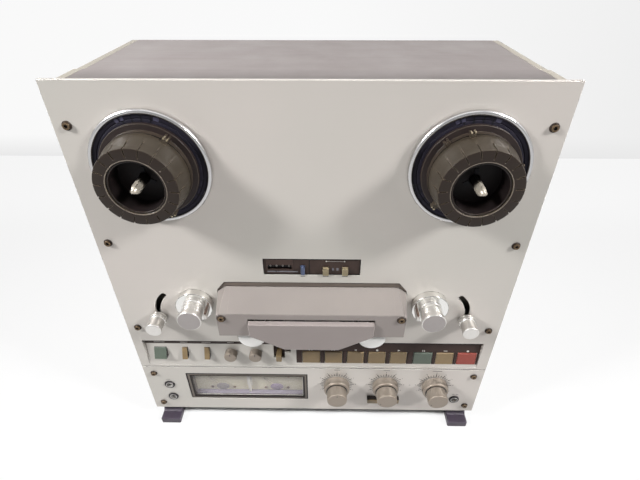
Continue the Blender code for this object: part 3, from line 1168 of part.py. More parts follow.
def make_head_housing():
    back = HEAD_BASE_FRONT + GAP
    inside = HOUSING_FRONT - HOUSING_WALL
    shell = loft("head_housing", [(housing_loop(back, 0, HOUSING_BOTTOM), back),
                                  (housing_loop(HOUSING_FRONT, 0, HOUSING_BOTTOM), HOUSING_FRONT)], "housing")
    chamfer(shell, HOUSING_EDGE, 1)
    low = HOUSING_BOTTOM - OVERRUN
    carve(shell, loft("housing_hollow", [(housing_loop(back - OVERRUN, HOUSING_WALL, low), back - OVERRUN),
                                         (housing_loop(inside, HOUSING_WALL, low), inside)]))
    wide = HOUSING_REAR_HALF + OVERRUN
    carve(shell, block("tape_exits", (-wide, wide), (low, TAPE_EXIT_TOP), (TAPE_EXIT_BACK, TAPE_EXIT_FRONT)))
    carve(shell, block("flap_notch", (-NOTCH_HALF, NOTCH_HALF), (low, NOTCH_TOP),
                       (inside - HOUSING_WALL, HOUSING_FRONT + OVERRUN)))
    for side in (-1, 1):
        spot = (side * SCREW_BOSS_X, SCREW_BOSS_UP)
        unite(shell, rod(side_name("housing_post", side), spot, SCREW_BOSS_WIDTH / 2,
                         (back, inside + HOUSING_WALL / 2), "housing", COARSE))
        edges = (spot[0] - SCREW_BOSS_WIDTH / 2, spot[0] + SCREW_BOSS_WIDTH / 2)
        unite(shell, block(side_name("screw_boss", side), edges,
                           (SCREW_BOSS_UP - SCREW_BOSS_WIDTH / 2, SCREW_BOSS_UP + SCREW_BOSS_WIDTH / 2),
                           (HOUSING_FRONT - HOUSING_WALL / 2, HOUSING_FRONT + SCREW_BOSS_OUT), "housing"))
        ear = sorted((side * NOTCH_HALF, side * (NOTCH_HALF + FLAP_EAR_WIDTH)))
        unite(shell, cross_rod(side_name("flap_ear", side), FLAP_PIVOT_UP, FLAP_PIVOT_OUT,
                               FLAP_EAR_RADIUS, ear, "housing"))
        hole = sorted((side * (NOTCH_HALF - GAP), side * (FLAP_HALF + FLAP_PIN_LENGTH + GAP)))
        carve(shell, cross_rod(side_name("flap_pin_hole", side), FLAP_PIVOT_UP, FLAP_PIVOT_OUT,
                               FLAP_PIN_RADIUS + RUNNING_GAP, hole))


def flap_loop(top, inset):
    """The flap's front outline, with its lower corners cut to a short bottom edge."""
    half = FLAP_HALF - inset
    bottom = FLAP_BOTTOM + inset
    return [(-half, top - inset), (-half, FLAP_SHOULDER), (-FLAP_BOTTOM_HALF, bottom),
            (FLAP_BOTTOM_HALF, bottom), (half, FLAP_SHOULDER), (half, top - inset)]


def make_head_flap():
    flap = loft("head_flap", [(flap_loop(FLAP_TOP, 0), FLAP_BACK),
                              (flap_loop(FLAP_TOP_FRONT, 0), FLAP_FRONT)], "flap")
    chamfer(flap, FLAP_EDGE, 1)
    inside = FLAP_FRONT - FLAP_PLATE
    inner_loop = flap_loop(FLAP_TOP_FRONT, FLAP_PLATE)
    carve(flap, loft("flap_hollow", [(inner_loop, FLAP_BACK - OVERRUN), (inner_loop, inside)]))
    for side in (-1, 1):
        lug = sorted((side * (FLAP_HALF - FLAP_LUG_WIDTH), side * FLAP_HALF))
        unite(flap, cross_rod(side_name("flap_lug", side), FLAP_PIVOT_UP, FLAP_PIVOT_OUT,
                              FLAP_LUG_RADIUS, lug, "flap"))
        pin = sorted((side * (FLAP_HALF - FLAP_LUG_WIDTH / 2), side * (FLAP_HALF + FLAP_PIN_LENGTH)))
        unite(flap, cross_rod(side_name("flap_pin", side), FLAP_PIVOT_UP, FLAP_PIVOT_OUT,
                              FLAP_PIN_RADIUS, pin, "flap"))
    pivot(flap, (0, FLAP_PIVOT_UP, FLAP_PIVOT_OUT))


def drum_length():
    return DRUM_WHEELS * DRUM_WHEEL_WIDTH + (DRUM_WHEELS - 1) * DRUM_GROOVE


def drum_out():
    return COUNTER_FACE - DRUM_RADIUS - DRUM_GROOVE


def make_counter():
    back = COUNTER_FACE - COUNTER_DEPTH
    case = block("counter_housing", (COUNTER_LEFT + GAP, COUNTER_RIGHT - GAP),
                 (COUNTER_BOTTOM + GAP, COUNTER_TOP - GAP), (back, COUNTER_FACE), "black")
    half = drum_length() / 2
    reach = DRUM_RADIUS + RUNNING_GAP
    carve(case, block("drum_bay", (DRUM_X - half - RUNNING_GAP, DRUM_X + half + RUNNING_GAP),
                      (DRUM_UP - reach, DRUM_UP + reach), (drum_out() - reach, OVERRUN)))
    axle_half = half + DRUM_AXLE_LENGTH + RUNNING_GAP
    carve(case, cross_rod("drum_axle_hole", DRUM_UP, drum_out(), DRUM_AXLE_RADIUS + RUNNING_GAP,
                          (DRUM_X - axle_half, DRUM_X + axle_half)))
    end = half + DRUM_AXLE_LENGTH
    profile = [(0, end), (DRUM_AXLE_RADIUS, end), (DRUM_AXLE_RADIUS, half)]
    along = half
    for number in range(DRUM_WHEELS):
        profile.append((DRUM_RADIUS, along))
        along -= DRUM_WHEEL_WIDTH
        profile.append((DRUM_RADIUS, along))
        if number < DRUM_WHEELS - 1:
            profile.append((DRUM_RADIUS - DRUM_GROOVE_DEPTH, along))
            along -= DRUM_GROOVE
            profile.append((DRUM_RADIUS - DRUM_GROOVE_DEPTH, along))
    profile += [(DRUM_AXLE_RADIUS, -half), (DRUM_AXLE_RADIUS, -end), (0, -end)]
    drum = turned("counter_drum", (DRUM_X, DRUM_UP), profile, "black", COARSE)
    drum.location = (DRUM_X, DRUM_UP, drum_out())
    drum.rotation_euler = (0, math.pi / 2, 0)
    buttons = [("counter_reset_button", RESET_X, RESET_WIDTH, RESET_BOTTOM, RESET_TOP, RESET_OUT, "blue")]
    for name, x in zip(("memory_button", "repeat_button"), MEMORY_XS):
        buttons.append((name, x, MEMORY_WIDTH, MEMORY_BOTTOM, MEMORY_TOP, MEMORY_OUT, "tan"))
    for name, x, width, bottom, top, out, colour in buttons:
        push_button(case, name, (x - width / 2, x + width / 2), (bottom, top), (back, out), colour)


def push_button(carrier, name, xs, ups, outs, colour):
    """A rectangular button in its own hole through the piece that carries it."""
    button = chamfer(block(name, xs, ups, outs, colour), BUTTON_EDGE, 1)
    pivot(button, (sum(xs) / 2, sum(ups) / 2, 0))
    side = BUTTON_SIDE_GAP
    carve(carrier, block(name + "_hole", (xs[0] - side, xs[1] + side), (ups[0] - side, ups[1] + side),
                         (outs[0] - OVERRUN, outs[1] + OVERRUN)))


def slanted_button(carrier, name, xs, ups, fronts, stem, edge, colour):
    """A button whose front slants from fronts[0] at its bottom to fronts[1] at its top."""
    button = plate(name, [[(fronts[0], ups[0]), (fronts[1], ups[1]), (-stem, ups[1]), (-stem, ups[0])]],
                   xs, colour, across=True)
    chamfer(button, edge, 1)
    pivot(button, (sum(xs) / 2, sum(ups) / 2, 0))
    side = BUTTON_SIDE_GAP
    carve(carrier, block(name + "_hole", (xs[0] - side, xs[1] + side), (ups[0] - side, ups[1] + side),
                         (-stem - OVERRUN, fronts[0] + OVERRUN)))


def make_control_strip():
    strip_top = STRIP_TOP - GAP
    low = STRIP_BOTTOM + GAP
    flange_top = STRIP_TOP + STRIP_THICKNESS + GAP
    flange_out = PANEL_BACK - GAP
    top_back = -STRIP_TOP_DEPTH - STRIP_THICKNESS
    outline = [(-STRIP_BOTTOM_DEPTH, low), (-STRIP_TOP_DEPTH, strip_top),
               (-STRIP_TOP_DEPTH, STRIP_TOP + GAP), (flange_out, STRIP_TOP + GAP), (flange_out, flange_top),
               (top_back, flange_top), (top_back, strip_top), (-STRIP_BOTTOM_DEPTH - STRIP_THICKNESS, low)]
    strip = plate("control_fascia", [outline], (STRIP_LEFT + GAP, STRIP_RIGHT - GAP), "silver", across=True)
    for name, left, right, colour in KEY_SPANS:
        slanted_button(strip, name, (left, right), (KEY_BOTTOM, KEY_TOP), (KEY_BOTTOM_OUT, KEY_TOP_OUT),
                       KEY_STEM, KEY_EDGE, colour)
    for name, x, width, colour in SWITCHES:
        slanted_button(strip, name, (x - width / 2, x + width / 2), (SWITCH_BOTTOM, SWITCH_TOP),
                       (SWITCH_BOTTOM_OUT, SWITCH_TOP_OUT), SWITCH_STEM, BUTTON_EDGE, colour)
    for name, x in SMALL_KNOBS:
        turned(name, (x, SMALL_KNOB_UP), [
            (0, SMALL_KNOB_FRONT), (SMALL_KNOB_RADIUS - SMALL_KNOB_ROUND, SMALL_KNOB_FRONT),
            (SMALL_KNOB_RADIUS, SMALL_KNOB_FRONT - SMALL_KNOB_ROUND), (SMALL_KNOB_RADIUS, SMALL_KNOB_BACK),
            (SMALL_KNOB_STEM_RADIUS, SMALL_KNOB_BACK), (SMALL_KNOB_STEM_RADIUS, -SMALL_KNOB_STEM),
            (0, -SMALL_KNOB_STEM)], "knob", MEDIUM)
        carve(strip, rod(name + "_hole", (x, SMALL_KNOB_UP), SMALL_KNOB_STEM_RADIUS + GAP,
                         (-SMALL_KNOB_STEM - OVERRUN, OVERRUN), steps=COARSE))
    make_cue_lever(strip)


def make_cue_lever(strip):
    """A lever that swings up in an L-shaped slot, on a pin between two ears of the strip."""
    far = -STRIP_TOP_DEPTH - STRIP_THICKNESS - OVERRUN
    carve(strip, plate("lever_slot", [[
        (LEVER_SLOT_LEFT, LEVER_SLOT_BOTTOM), (LEVER_SLOT_RIGHT, LEVER_SLOT_BOTTOM),
        (LEVER_SLOT_RIGHT, LEVER_SIDE_BOTTOM), (LEVER_SIDE_RIGHT, LEVER_SIDE_BOTTOM),
        (LEVER_SIDE_RIGHT, LEVER_SIDE_TOP), (LEVER_SLOT_RIGHT, LEVER_SIDE_TOP),
        (LEVER_SLOT_RIGHT, LEVER_SLOT_TOP), (LEVER_SLOT_LEFT, LEVER_SLOT_TOP)]], (far, OVERRUN)))
    middle = (LEVER_BOTTOM + LEVER_TOP) / 2
    axis_out = -LEVER_PIVOT_DEPTH
    half = LEVER_WIDTH / 2
    body = [(LEVER_OUT, LEVER_BOTTOM), (LEVER_OUT, LEVER_TOP), (axis_out, middle + LEVER_HUB_RADIUS / 2),
            (axis_out, middle - LEVER_HUB_RADIUS / 2)]
    lever = plate("cue_lever", [body], (LEVER_X - half, LEVER_X + half), "tan", across=True)
    chamfer(lever, BUTTON_EDGE, 1)
    unite(lever, cross_rod("lever_hub", middle, axis_out, LEVER_HUB_RADIUS,
                           (LEVER_X - half, LEVER_X + half), "tan"))
    carve(lever, cross_rod("lever_bore", middle, axis_out, LEVER_PIN_RADIUS + RUNNING_GAP,
                           (LEVER_X - half - OVERRUN, LEVER_X + half + OVERRUN)))
    pivot(lever, (LEVER_X, middle, axis_out))
    slot_half = max(LEVER_X - LEVER_SLOT_LEFT, LEVER_SIDE_RIGHT - LEVER_X)
    for side in (-1, 1):
        near = half + RUNNING_GAP
        foot = slot_half + LEVER_BRACKET_WALL
        edges = sorted((LEVER_X + side * near, LEVER_X + side * (near + LEVER_BRACKET_WALL)))
        wall_back = axis_out - LEVER_HUB_RADIUS
        step_out = -STRIP_TOP_DEPTH - STRIP_THICKNESS - LEVER_HUB_RADIUS
        unite(strip, block(side_name("lever_ear", side), edges,
                           (middle - LEVER_HUB_RADIUS, middle + LEVER_HUB_RADIUS),
                           (wall_back, step_out), "silver"))
        reach = sorted((LEVER_X + side * near, LEVER_X + side * foot))
        unite(strip, block(side_name("lever_shelf", side), reach,
                           (middle - LEVER_HUB_RADIUS, middle + LEVER_HUB_RADIUS),
                           (step_out - LEVER_BRACKET_WALL, step_out), "silver"))
        riser = sorted((LEVER_X + side * slot_half, LEVER_X + side * foot))
        unite(strip, block(side_name("lever_riser", side), riser,
                           (middle - LEVER_HUB_RADIUS, middle + LEVER_HUB_RADIUS),
                           (step_out - LEVER_BRACKET_WALL, -STRIP_BOTTOM_DEPTH - STRIP_THICKNESS), "silver"))
    ear = half + RUNNING_GAP + LEVER_BRACKET_WALL / 2
    unite(strip, cross_rod("lever_pin", middle, axis_out, LEVER_PIN_RADIUS,
                           (LEVER_X - ear, LEVER_X + ear), "silver"))


def make_meters():
    inner_xs = (METER_LEFT + METER_BAR_SIDE, METER_RIGHT - METER_BAR_SIDE)
    inner_ups = (METER_BOTTOM + METER_BAR_BOTTOM, METER_TOP - METER_BAR_TOP)
    dial = -METER_DIAL_DEPTH
    case = block("meter_housing", (METER_LEFT + GAP, METER_RIGHT - GAP),
                 (METER_BOTTOM + GAP, METER_TOP - GAP), (dial - METER_BACK_WALL, METER_FACE), "black")
    carve(case, block("meter_hollow", inner_xs, inner_ups, (dial, OVERRUN)))
    middle = sum(inner_xs) / 2
    unite(case, block("meter_divider", (middle - METER_DIVIDER_WIDTH / 2, middle + METER_DIVIDER_WIDTH / 2),
                      (inner_ups[0] - METER_BAR_BOTTOM / 2, inner_ups[1] + METER_BAR_TOP / 2),
                      (dial - METER_BACK_WALL / 2, dial + METER_DIVIDER_DEPTH), "black"))
    lens_front = METER_FACE - LENS_SETBACK
    block("meter_lens", (inner_xs[0] + GAP, inner_xs[1] - GAP), (inner_ups[0] + GAP, inner_ups[1] - GAP),
          (lens_front - LENS_THICKNESS, lens_front), "lens")
    quarter = (inner_xs[1] - inner_xs[0]) / 4
    back = dial + NEEDLE_DIAL_GAP
    front = back + NEEDLE_THICKNESS
    for side in (-1, 1):
        centre = (middle + side * quarter, NEEDLE_PIVOT_UP)
        lean = math.pi / 2 + NEEDLE_REST
        tip = (centre[0] + NEEDLE_LENGTH * math.cos(lean), centre[1] + NEEDLE_LENGTH * math.sin(lean))
        unite(case, rod(side_name("needle_pin", side), centre, NEEDLE_PIN_RADIUS,
                        (dial - METER_BACK_WALL / 2, front + NEEDLE_THICKNESS), "black", COARSE))
        needle = plate(side_name("meter_needle", side), [stadium(centre, tip, NEEDLE_WIDTH / 2, 4)],
                       (back, front), "black")
        unite(needle, rod(side_name("needle_hub", side), centre, NEEDLE_HUB_RADIUS,
                          (back - NEEDLE_THICKNESS / 2, front + NEEDLE_THICKNESS / 2), "black", COARSE))
        carve(needle, rod(side_name("needle_bore", side), centre, NEEDLE_PIN_RADIUS + GAP,
                          (back - OVERRUN, front + OVERRUN), steps=COARSE))
        pivot(needle, (*centre, 0))


def level_sleeve_radius():
    return LEVEL_SHAFT_RADIUS + GAP + LEVEL_SLEEVE_WALL


def make_level_controls():
    bore = LEVEL_SHAFT_RADIUS + GAP
    sleeve = level_sleeve_radius()
    for name, x in LEVEL_KNOBS:
        shoulder = LEVEL_RING_RADIUS - LEVEL_RING_TAPER
        turned(name + "_ring", (x, LEVEL_UP), [
            (bore, LEVEL_RING_OUT), (shoulder - LEVEL_ROUND, LEVEL_RING_OUT),
            (shoulder, LEVEL_RING_OUT - LEVEL_ROUND), (LEVEL_RING_RADIUS, LEVEL_RING_BACK),
            (sleeve, LEVEL_RING_BACK), (sleeve, -LEVEL_SLEEVE_DEPTH),
            (bore, -LEVEL_SLEEVE_DEPTH)], "knob", MEDIUM, closed=True)
        turned(name + "_knob", (x, LEVEL_UP), [
            (0, LEVEL_KNOB_OUT), (LEVEL_KNOB_RADIUS - LEVEL_ROUND, LEVEL_KNOB_OUT),
            (LEVEL_KNOB_RADIUS, LEVEL_KNOB_OUT - LEVEL_ROUND), (LEVEL_KNOB_RADIUS, LEVEL_RING_OUT + GAP),
            (LEVEL_SHAFT_RADIUS, LEVEL_RING_OUT + GAP), (LEVEL_SHAFT_RADIUS, -LEVEL_SHAFT_DEPTH),
            (0, -LEVEL_SHAFT_DEPTH)], "knob", MEDIUM)
    for name, x in MONITOR_BUTTONS:
        button = block(name, (x - MONITOR_WIDTH / 2, x + MONITOR_WIDTH / 2), (MONITOR_BOTTOM, MONITOR_TOP),
                       (-MONITOR_STEM, MONITOR_OUT), "tan")
        chamfer(button, BUTTON_EDGE, 1)
        pivot(button, (x, (MONITOR_BOTTOM + MONITOR_TOP) / 2, 0))


make_deck_panel()
make_amp_panel()
make_case()
make_rear_panel()
make_feet()
make_chassis()
for end in (-1, 1):
    make_reel(end)
    make_tape_rollers(end)
    make_capstan(end)
    make_pinch(end)
make_head_block()
make_head_housing()
make_head_flap()
make_counter()
make_control_strip()
make_meters()
make_level_controls()
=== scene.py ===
"""Reel-to-reel tape deck: finishes, trims, printed marks and the picture that the deck stands in.

Lengths are millimetres in the deck's front frame: across to the right, up from the panels' lower
edge, and out of the panel toward the viewer. Only on_front turns them into metres.
"""
import math

import bmesh
import bpy
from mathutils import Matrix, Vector


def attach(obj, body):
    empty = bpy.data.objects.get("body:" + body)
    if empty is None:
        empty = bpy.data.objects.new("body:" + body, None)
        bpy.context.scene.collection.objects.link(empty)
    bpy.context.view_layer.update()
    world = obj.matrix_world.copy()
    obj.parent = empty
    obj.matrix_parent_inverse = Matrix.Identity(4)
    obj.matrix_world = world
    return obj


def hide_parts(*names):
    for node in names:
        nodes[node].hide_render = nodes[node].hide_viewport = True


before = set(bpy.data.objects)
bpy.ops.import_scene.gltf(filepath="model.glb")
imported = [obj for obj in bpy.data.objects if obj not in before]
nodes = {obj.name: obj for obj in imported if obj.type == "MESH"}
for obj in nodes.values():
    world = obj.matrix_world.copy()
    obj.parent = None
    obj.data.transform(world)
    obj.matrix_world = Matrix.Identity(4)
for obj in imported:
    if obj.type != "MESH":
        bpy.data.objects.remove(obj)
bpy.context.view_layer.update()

scene = bpy.context.scene


# The picture
# The deck stands on a white table before a white wall. Lamps at the left and the right throw the
# hubs' shadows over the panel, a wide one hangs above, and the camera is close and looks down.

SIDES = ((-1, "left"), (1, "right"))


def tint(red, green, blue):
    """A colour as a screen shows it, 0 to 255, in the shader's linear values."""
    def linear(value):
        share = value / 255
        return share / 12.92 if share <= 0.04045 else ((share + 0.055) / 1.055) ** 2.4
    return (linear(red), linear(green), linear(blue), 1)


def grey(level):
    return tint(level, level, level)


class Wire:
    """What a node gives out, with sums on values written as plain expressions."""

    def __init__(self, tree, socket):
        self.tree = tree
        self.socket = socket

    def sum_of(self, operation, first, second):
        return self.tree.node("ShaderNodeMath", {"operation": operation}, {0: first, 1: second})

    def __add__(self, other):
        return self.sum_of("ADD", self, other)

    def __radd__(self, other):
        return self.sum_of("ADD", other, self)

    def __sub__(self, other):
        return self.sum_of("SUBTRACT", self, other)

    def __rsub__(self, other):
        return self.sum_of("SUBTRACT", other, self)

    def __mul__(self, other):
        return self.sum_of("MULTIPLY", self, other)

    def __rmul__(self, other):
        return self.sum_of("MULTIPLY", other, self)

    def __truediv__(self, other):
        return self.sum_of("DIVIDE", self, other)


class Tree:
    """A node tree that is written one node a call."""

    def __init__(self, nodes_and_links):
        self.tree = nodes_and_links

    def node(self, kind, settings=None, values=None, output=0):
        made = self.tree.nodes.new(kind)
        for name, value in (settings or {}).items():
            if name == "stops":
                ramp = made.color_ramp
                while len(ramp.elements) < len(value):
                    ramp.elements.new(1)
                for stop, (place, colour) in zip(ramp.elements, value):
                    stop.position = place
                    stop.color = colour
            else:
                setattr(made, name, value)
        for key, value in (values or {}).items():
            if isinstance(value, Wire):
                self.tree.links.new(value.socket, made.inputs[key])
            else:
                made.inputs[key].default_value = value
        return Wire(self, made.outputs[output])


class Finish(Tree):
    """A material: one shader, and what varies it over the surface."""

    def __init__(self, name, colour, roughness, metallic=0.0, specular=0.5):
        self.material = bpy.data.materials.new(name)
        self.material.use_nodes = True
        super().__init__(self.material.node_tree)
        self.shader = self.tree.nodes["Principled BSDF"]
        self.colour = tint(*colour)
        self.roughness = roughness
        for label, value in (("Base Color", self.colour), ("Roughness", roughness), ("Metallic", metallic),
                             ("Specular IOR Level", specular)):
            self.shader.inputs[label].default_value = value

    def feed(self, socket, wire):
        self.tree.links.new(wire.socket, self.shader.inputs[socket])

    def places(self, scale=(1, 1, 1), shift=(0, 0, 0)):
        where = self.node("ShaderNodeTexCoord", output="Object")
        return self.node("ShaderNodeMapping", values={"Vector": where, "Location": shift, "Scale": scale})

    def along(self, axis):
        """Where a point lies along x, y or z, for axis 0, 1 or 2."""
        return self.node("ShaderNodeSeparateXYZ", values={0: self.places()}, output=axis)

    def cloud(self, scale, detail=2.0, vector=None):
        return self.node("ShaderNodeTexNoise", values={
            "Vector": vector or self.places(), "Scale": scale, "Detail": detail, "Roughness": 0.55})

    def blend(self, share, first, second):
        return self.node("ShaderNodeMix", {"data_type": "RGBA"}, {0: share, 6: first, 7: second}, 2)

    def between(self, wire, low, high):
        return self.node("ShaderNodeMapRange", values={"Value": wire, "From Min": low, "From Max": high})

    def edges(self, radius):
        """1 on sharp edges, from how far a rounded normal turns away from the flat one."""
        rounded = self.node("ShaderNodeBevel", {"samples": 4}, {"Radius": radius})
        flat = self.node("ShaderNodeNewGeometry", output="True Normal")
        alike = self.node("ShaderNodeVectorMath", {"operation": "DOT_PRODUCT"}, {0: rounded, 1: flat},
                          "Value")
        return self.between(1 - alike, 0.02, 0.2)

    def emboss(self, height, distance, strength=1.0):
        self.feed("Normal", self.node("ShaderNodeBump", values={
            "Height": height, "Distance": distance, "Strength": strength}))


FOCAL_PIXELS = 427
FRAME_PIXELS = 640
SENSOR = 36
CAMERA_SPOT = (0.0143, -0.4256, 0.5509)
CAMERA_DEGREES = (54.83, 0.05, 0.83)
camera = bpy.data.objects.new("camera", bpy.data.cameras.new("camera"))
camera.data.sensor_width = SENSOR
camera.data.lens = FOCAL_PIXELS / FRAME_PIXELS * SENSOR
camera.data.clip_start = 0.01
camera.location = CAMERA_SPOT
camera.rotation_euler = [math.radians(degrees) for degrees in CAMERA_DEGREES]
scene.collection.objects.link(camera)
scene.camera = camera
scene.view_settings.view_transform = "Standard"

WALL_Y = 0.80
STAGE_HALF = 3.0
UNDER_HALF = (0.215, 0.19)
UNDER_FRONT = (-0.0725, -0.0675)
UNDER_REAR = (0.18, 0.15)
WALL_FOOT = (0.0, 0.07)
for name, glow_share, near_side, far_side, near_line, corners in (
        ("floor", 0.87, 255, 252, 255, [
            (-STAGE_HALF, -STAGE_HALF, 0), (STAGE_HALF, -STAGE_HALF, 0), (STAGE_HALF, WALL_Y, 0),
            (-STAGE_HALF, WALL_Y, 0)]),
        ("wall", 0.95, 253, 241, 236, [
            (-STAGE_HALF, WALL_Y, 0), (STAGE_HALF, WALL_Y, 0), (STAGE_HALF, WALL_Y, STAGE_HALF),
            (-STAGE_HALF, WALL_Y, STAGE_HALF)])):
    sheet = Finish(name + "_paper", (232, 232, 232), 0.9)
    grain = sheet.between(sheet.cloud(3, 3), 0.3, 0.7)
    rays = sheet.tree.nodes.new("ShaderNodeLightPath")
    bounced = Wire(sheet, rays.outputs["Is Diffuse Ray"])
    paper_tone = sheet.blend(grain, grey(230), grey(236))
    sheet.feed("Base Color", sheet.blend(bounced, paper_tone, grey(140)))
    seen = Wire(sheet, rays.outputs["Is Camera Ray"]) + Wire(sheet, rays.outputs["Is Glossy Ray"])
    seen = seen + Wire(sheet, rays.outputs["Is Transmission Ray"])
    # The wall's glow is painted darker toward the right, and darker still at its foot where it meets the
    # table: painted light and shade. The floor glows evenly in its foot tone.
    place = sheet.along(0)
    paper = sheet.blend(sheet.between(place, 0.0, 1.0), grey(near_side), grey(far_side))
    paper = sheet.blend(sheet.between(sheet.along(2), *WALL_FOOT), grey(near_line), paper)
    glow = sheet.node("ShaderNodeEmission", values={"Color": paper, "Strength": 1.0})
    depth = sheet.along(1)
    under = sheet.between(place.sum_of("ABSOLUTE", place, 0), *UNDER_HALF)
    under = under * sheet.between(depth, *UNDER_FRONT) * sheet.between(depth, *UNDER_REAR)
    mixed = sheet.node("ShaderNodeMixShader", values={
        0: seen * glow_share * (1 - under), 1: Wire(sheet, sheet.shader.outputs[0]), 2: glow})
    sheet.tree.links.new(mixed.socket, sheet.tree.nodes["Material Output"].inputs["Surface"])
    mesh = bpy.data.meshes.new(name)
    mesh.from_pydata(corners, [], [(0, 1, 2, 3)])
    mesh.materials.append(sheet.material)
    made = bpy.data.objects.new(name, mesh)
    scene.collection.objects.link(made)

ROOM_LIGHT = 0.28
world = bpy.data.worlds.new("room")
world.use_nodes = True
scene.world = world
room = Tree(world.node_tree)
sky = world.node_tree.nodes["Background"]
rays = world.node_tree.nodes.new("ShaderNodeLightPath")
seen = Wire(room, rays.outputs["Is Camera Ray"]) + Wire(room, rays.outputs["Is Transmission Ray"])
direction = room.node("ShaderNodeTexCoord", output="Generated")
front = room.node("ShaderNodeSeparateXYZ", values={0: direction}, output=1)
toward_viewer = room.node("ShaderNodeMapRange", values={
    "Value": front, "From Min": -0.9, "From Max": 0.3, "To Min": 0.45, "To Max": 1.0})
glossy = Wire(room, rays.outputs["Is Glossy Ray"])
strength = seen.sum_of("MAXIMUM", seen, glossy * toward_viewer)
strength = strength.sum_of("MAXIMUM", strength, ROOM_LIGHT)
world.node_tree.links.new(strength.socket, sky.inputs["Strength"])
sky.inputs["Color"].default_value = (1, 1, 1, 1)

DECK_MIDDLE = Vector((0, 0, 0.25))
for name, spot, size, power, beam in (
        ("lamp_left", (-1.5, -0.70, 1.5), 0.36, 3.8, 45),
        ("lamp_right", (1.5, -0.70, 1.5), 0.36, 3.4, 45),
        ("lamp_top", (0.0, -0.3, 2.3), 1.4, 4, 180)):
    lamp = bpy.data.objects.new(name, bpy.data.lights.new(name, "AREA"))
    lamp.data.size = size
    lamp.data.energy = power
    lamp.data.spread = math.radians(beam)
    lamp.location = spot
    lamp.rotation_euler = (DECK_MIDDLE - Vector(spot)).to_track_quat("-Z", "Y").to_euler()
    scene.collection.objects.link(lamp)


# Front panels
# Two plates of aluminium, brushed from side to side and anodised a warm silver, with polished
# chamfers that are painted lighter as a highlight. Ten dark plated screws with hexagon sockets hold
# them to posts behind.

PANEL_BEHIND_ORIGIN = 80.1
FOOT_HEIGHT = 24


def on_front(x, up, out=0.0):
    return (x / 1000, (-PANEL_BEHIND_ORIGIN - out) / 1000, (up + FOOT_HEIGHT) / 1000)


def dress(finish, *names):
    """Gives CAD nodes this finish."""
    for name in names:
        for slot in nodes[name].material_slots:
            slot.material = finish.material


def mottled(name, colour, roughness, darker, lighter=None, metallic=0.0, specular=0.5, scale=60, edge_wear_and_highlight=None,
            grain=900, depth=0.00002, spread=0.1):
    """Soft patches of tone, uneven gloss and a fine grain. If a width for them is given, the edges are
    lighter: partly worn edges, partly a painted highlight.
    """
    finish = Finish(name, colour, roughness, metallic, specular)
    patches = finish.between(finish.cloud(scale, 3), 0.3, 0.7)
    tone = finish.blend(patches, tint(*darker), finish.colour)
    if edge_wear_and_highlight:
        tone = finish.blend(finish.edges(edge_wear_and_highlight) * 0.6, tone, tint(*lighter))
    finish.feed("Base Color", tone)
    finish.feed("Roughness", finish.roughness - spread / 2 + patches * spread)
    finish.emboss(finish.cloud(grain, 1), depth)
    return finish


def brushed(finish, darker, lighter, strokes=(7, 7, 1300), depth=0.000012, edge_wear_and_highlight=0.0005):
    """Fine parallel strokes, soft tone changes along them, and chamfers painted lighter as a highlight."""
    lines = finish.cloud(1, 3, finish.places(strokes))
    patches = finish.between(finish.cloud(5, 2), 0.35, 0.65)
    tone = finish.blend(patches, tint(*darker), finish.colour)
    tone = finish.blend(finish.between(lines, 0.25, 0.75) * 0.10, tone, tint(*darker))
    finish.feed("Base Color", finish.blend(finish.edges(edge_wear_and_highlight) * 0.7, tone, tint(*lighter)))
    finish.feed("Roughness", finish.roughness + (lines - 0.5) * 0.12 + patches * 0.03)
    finish.emboss(lines, depth)
    return finish


panel_silver = brushed(Finish("brushed_warm_silver", (200, 193, 187), 0.42, 0.35), (193, 189, 182),
                       (246, 243, 238))
dress(panel_silver, "deck_panel", "amp_panel", "control_fascia")


class Steps(Tree):
    """A Geometry Nodes tree with named sizes. It is run on loose points, and its result is kept."""

    def __init__(self, name, **sizes):
        super().__init__(bpy.data.node_groups.new(name, "GeometryNodeTree"))
        face = self.tree.interface
        face.new_socket("Geometry", in_out="INPUT", socket_type="NodeSocketGeometry")
        face.new_socket("Geometry", in_out="OUTPUT", socket_type="NodeSocketGeometry")
        face.new_socket("Finish", in_out="INPUT", socket_type="NodeSocketMaterial")
        kinds = {int: "NodeSocketInt", float: "NodeSocketFloat", tuple: "NodeSocketVector"}
        for label, value in sizes.items():
            socket = face.new_socket(label, in_out="INPUT", socket_type=kinds[type(value)])
            socket.default_value = value
        self.given = self.tree.nodes.new("NodeGroupInput")

    def size(self, label):
        return Wire(self, self.given.outputs[label])

    def vector(self, x=0, y=0, z=0):
        return self.node("ShaderNodeCombineXYZ", values={0: x, 1: y, 2: z})

    def copies(self, points, one, turn=None):
        values = {"Points": points, "Instance": one}
        if turn is not None:
            values["Rotation"] = self.node("FunctionNodeEulerToRotation", values={0: turn})
        return self.node("GeometryNodeInstanceOnPoints", values=values)

    def end(self, geometry):
        whole = self.node("GeometryNodeRealizeInstances", values={0: geometry})
        whole = self.node("GeometryNodeSetMaterial", values={0: whole, "Material": self.size("Finish")})
        out = self.tree.nodes.new("NodeGroupOutput")
        self.tree.links.new(whole.socket, out.inputs[0])


def settled(name, mesh, finish, body, slot, sharp=35, outward=True):
    """A finished piece: merged, faces outward, smooth but for its edges, and riding on its body."""
    if outward:
        solid = bmesh.new()
        solid.from_mesh(mesh)
        bmesh.ops.remove_doubles(solid, verts=solid.verts, dist=0.000001)
        bmesh.ops.recalc_face_normals(solid, faces=solid.faces)
        solid.to_mesh(mesh)
        solid.free()
    mesh.shade_smooth()
    mesh.set_sharp_from_angle(angle=math.radians(sharp))
    mesh.materials.clear()
    mesh.materials.append(finish.material)
    made = bpy.data.objects.new(name, mesh)
    scene.collection.objects.link(made)
    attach(made, body)
    return made


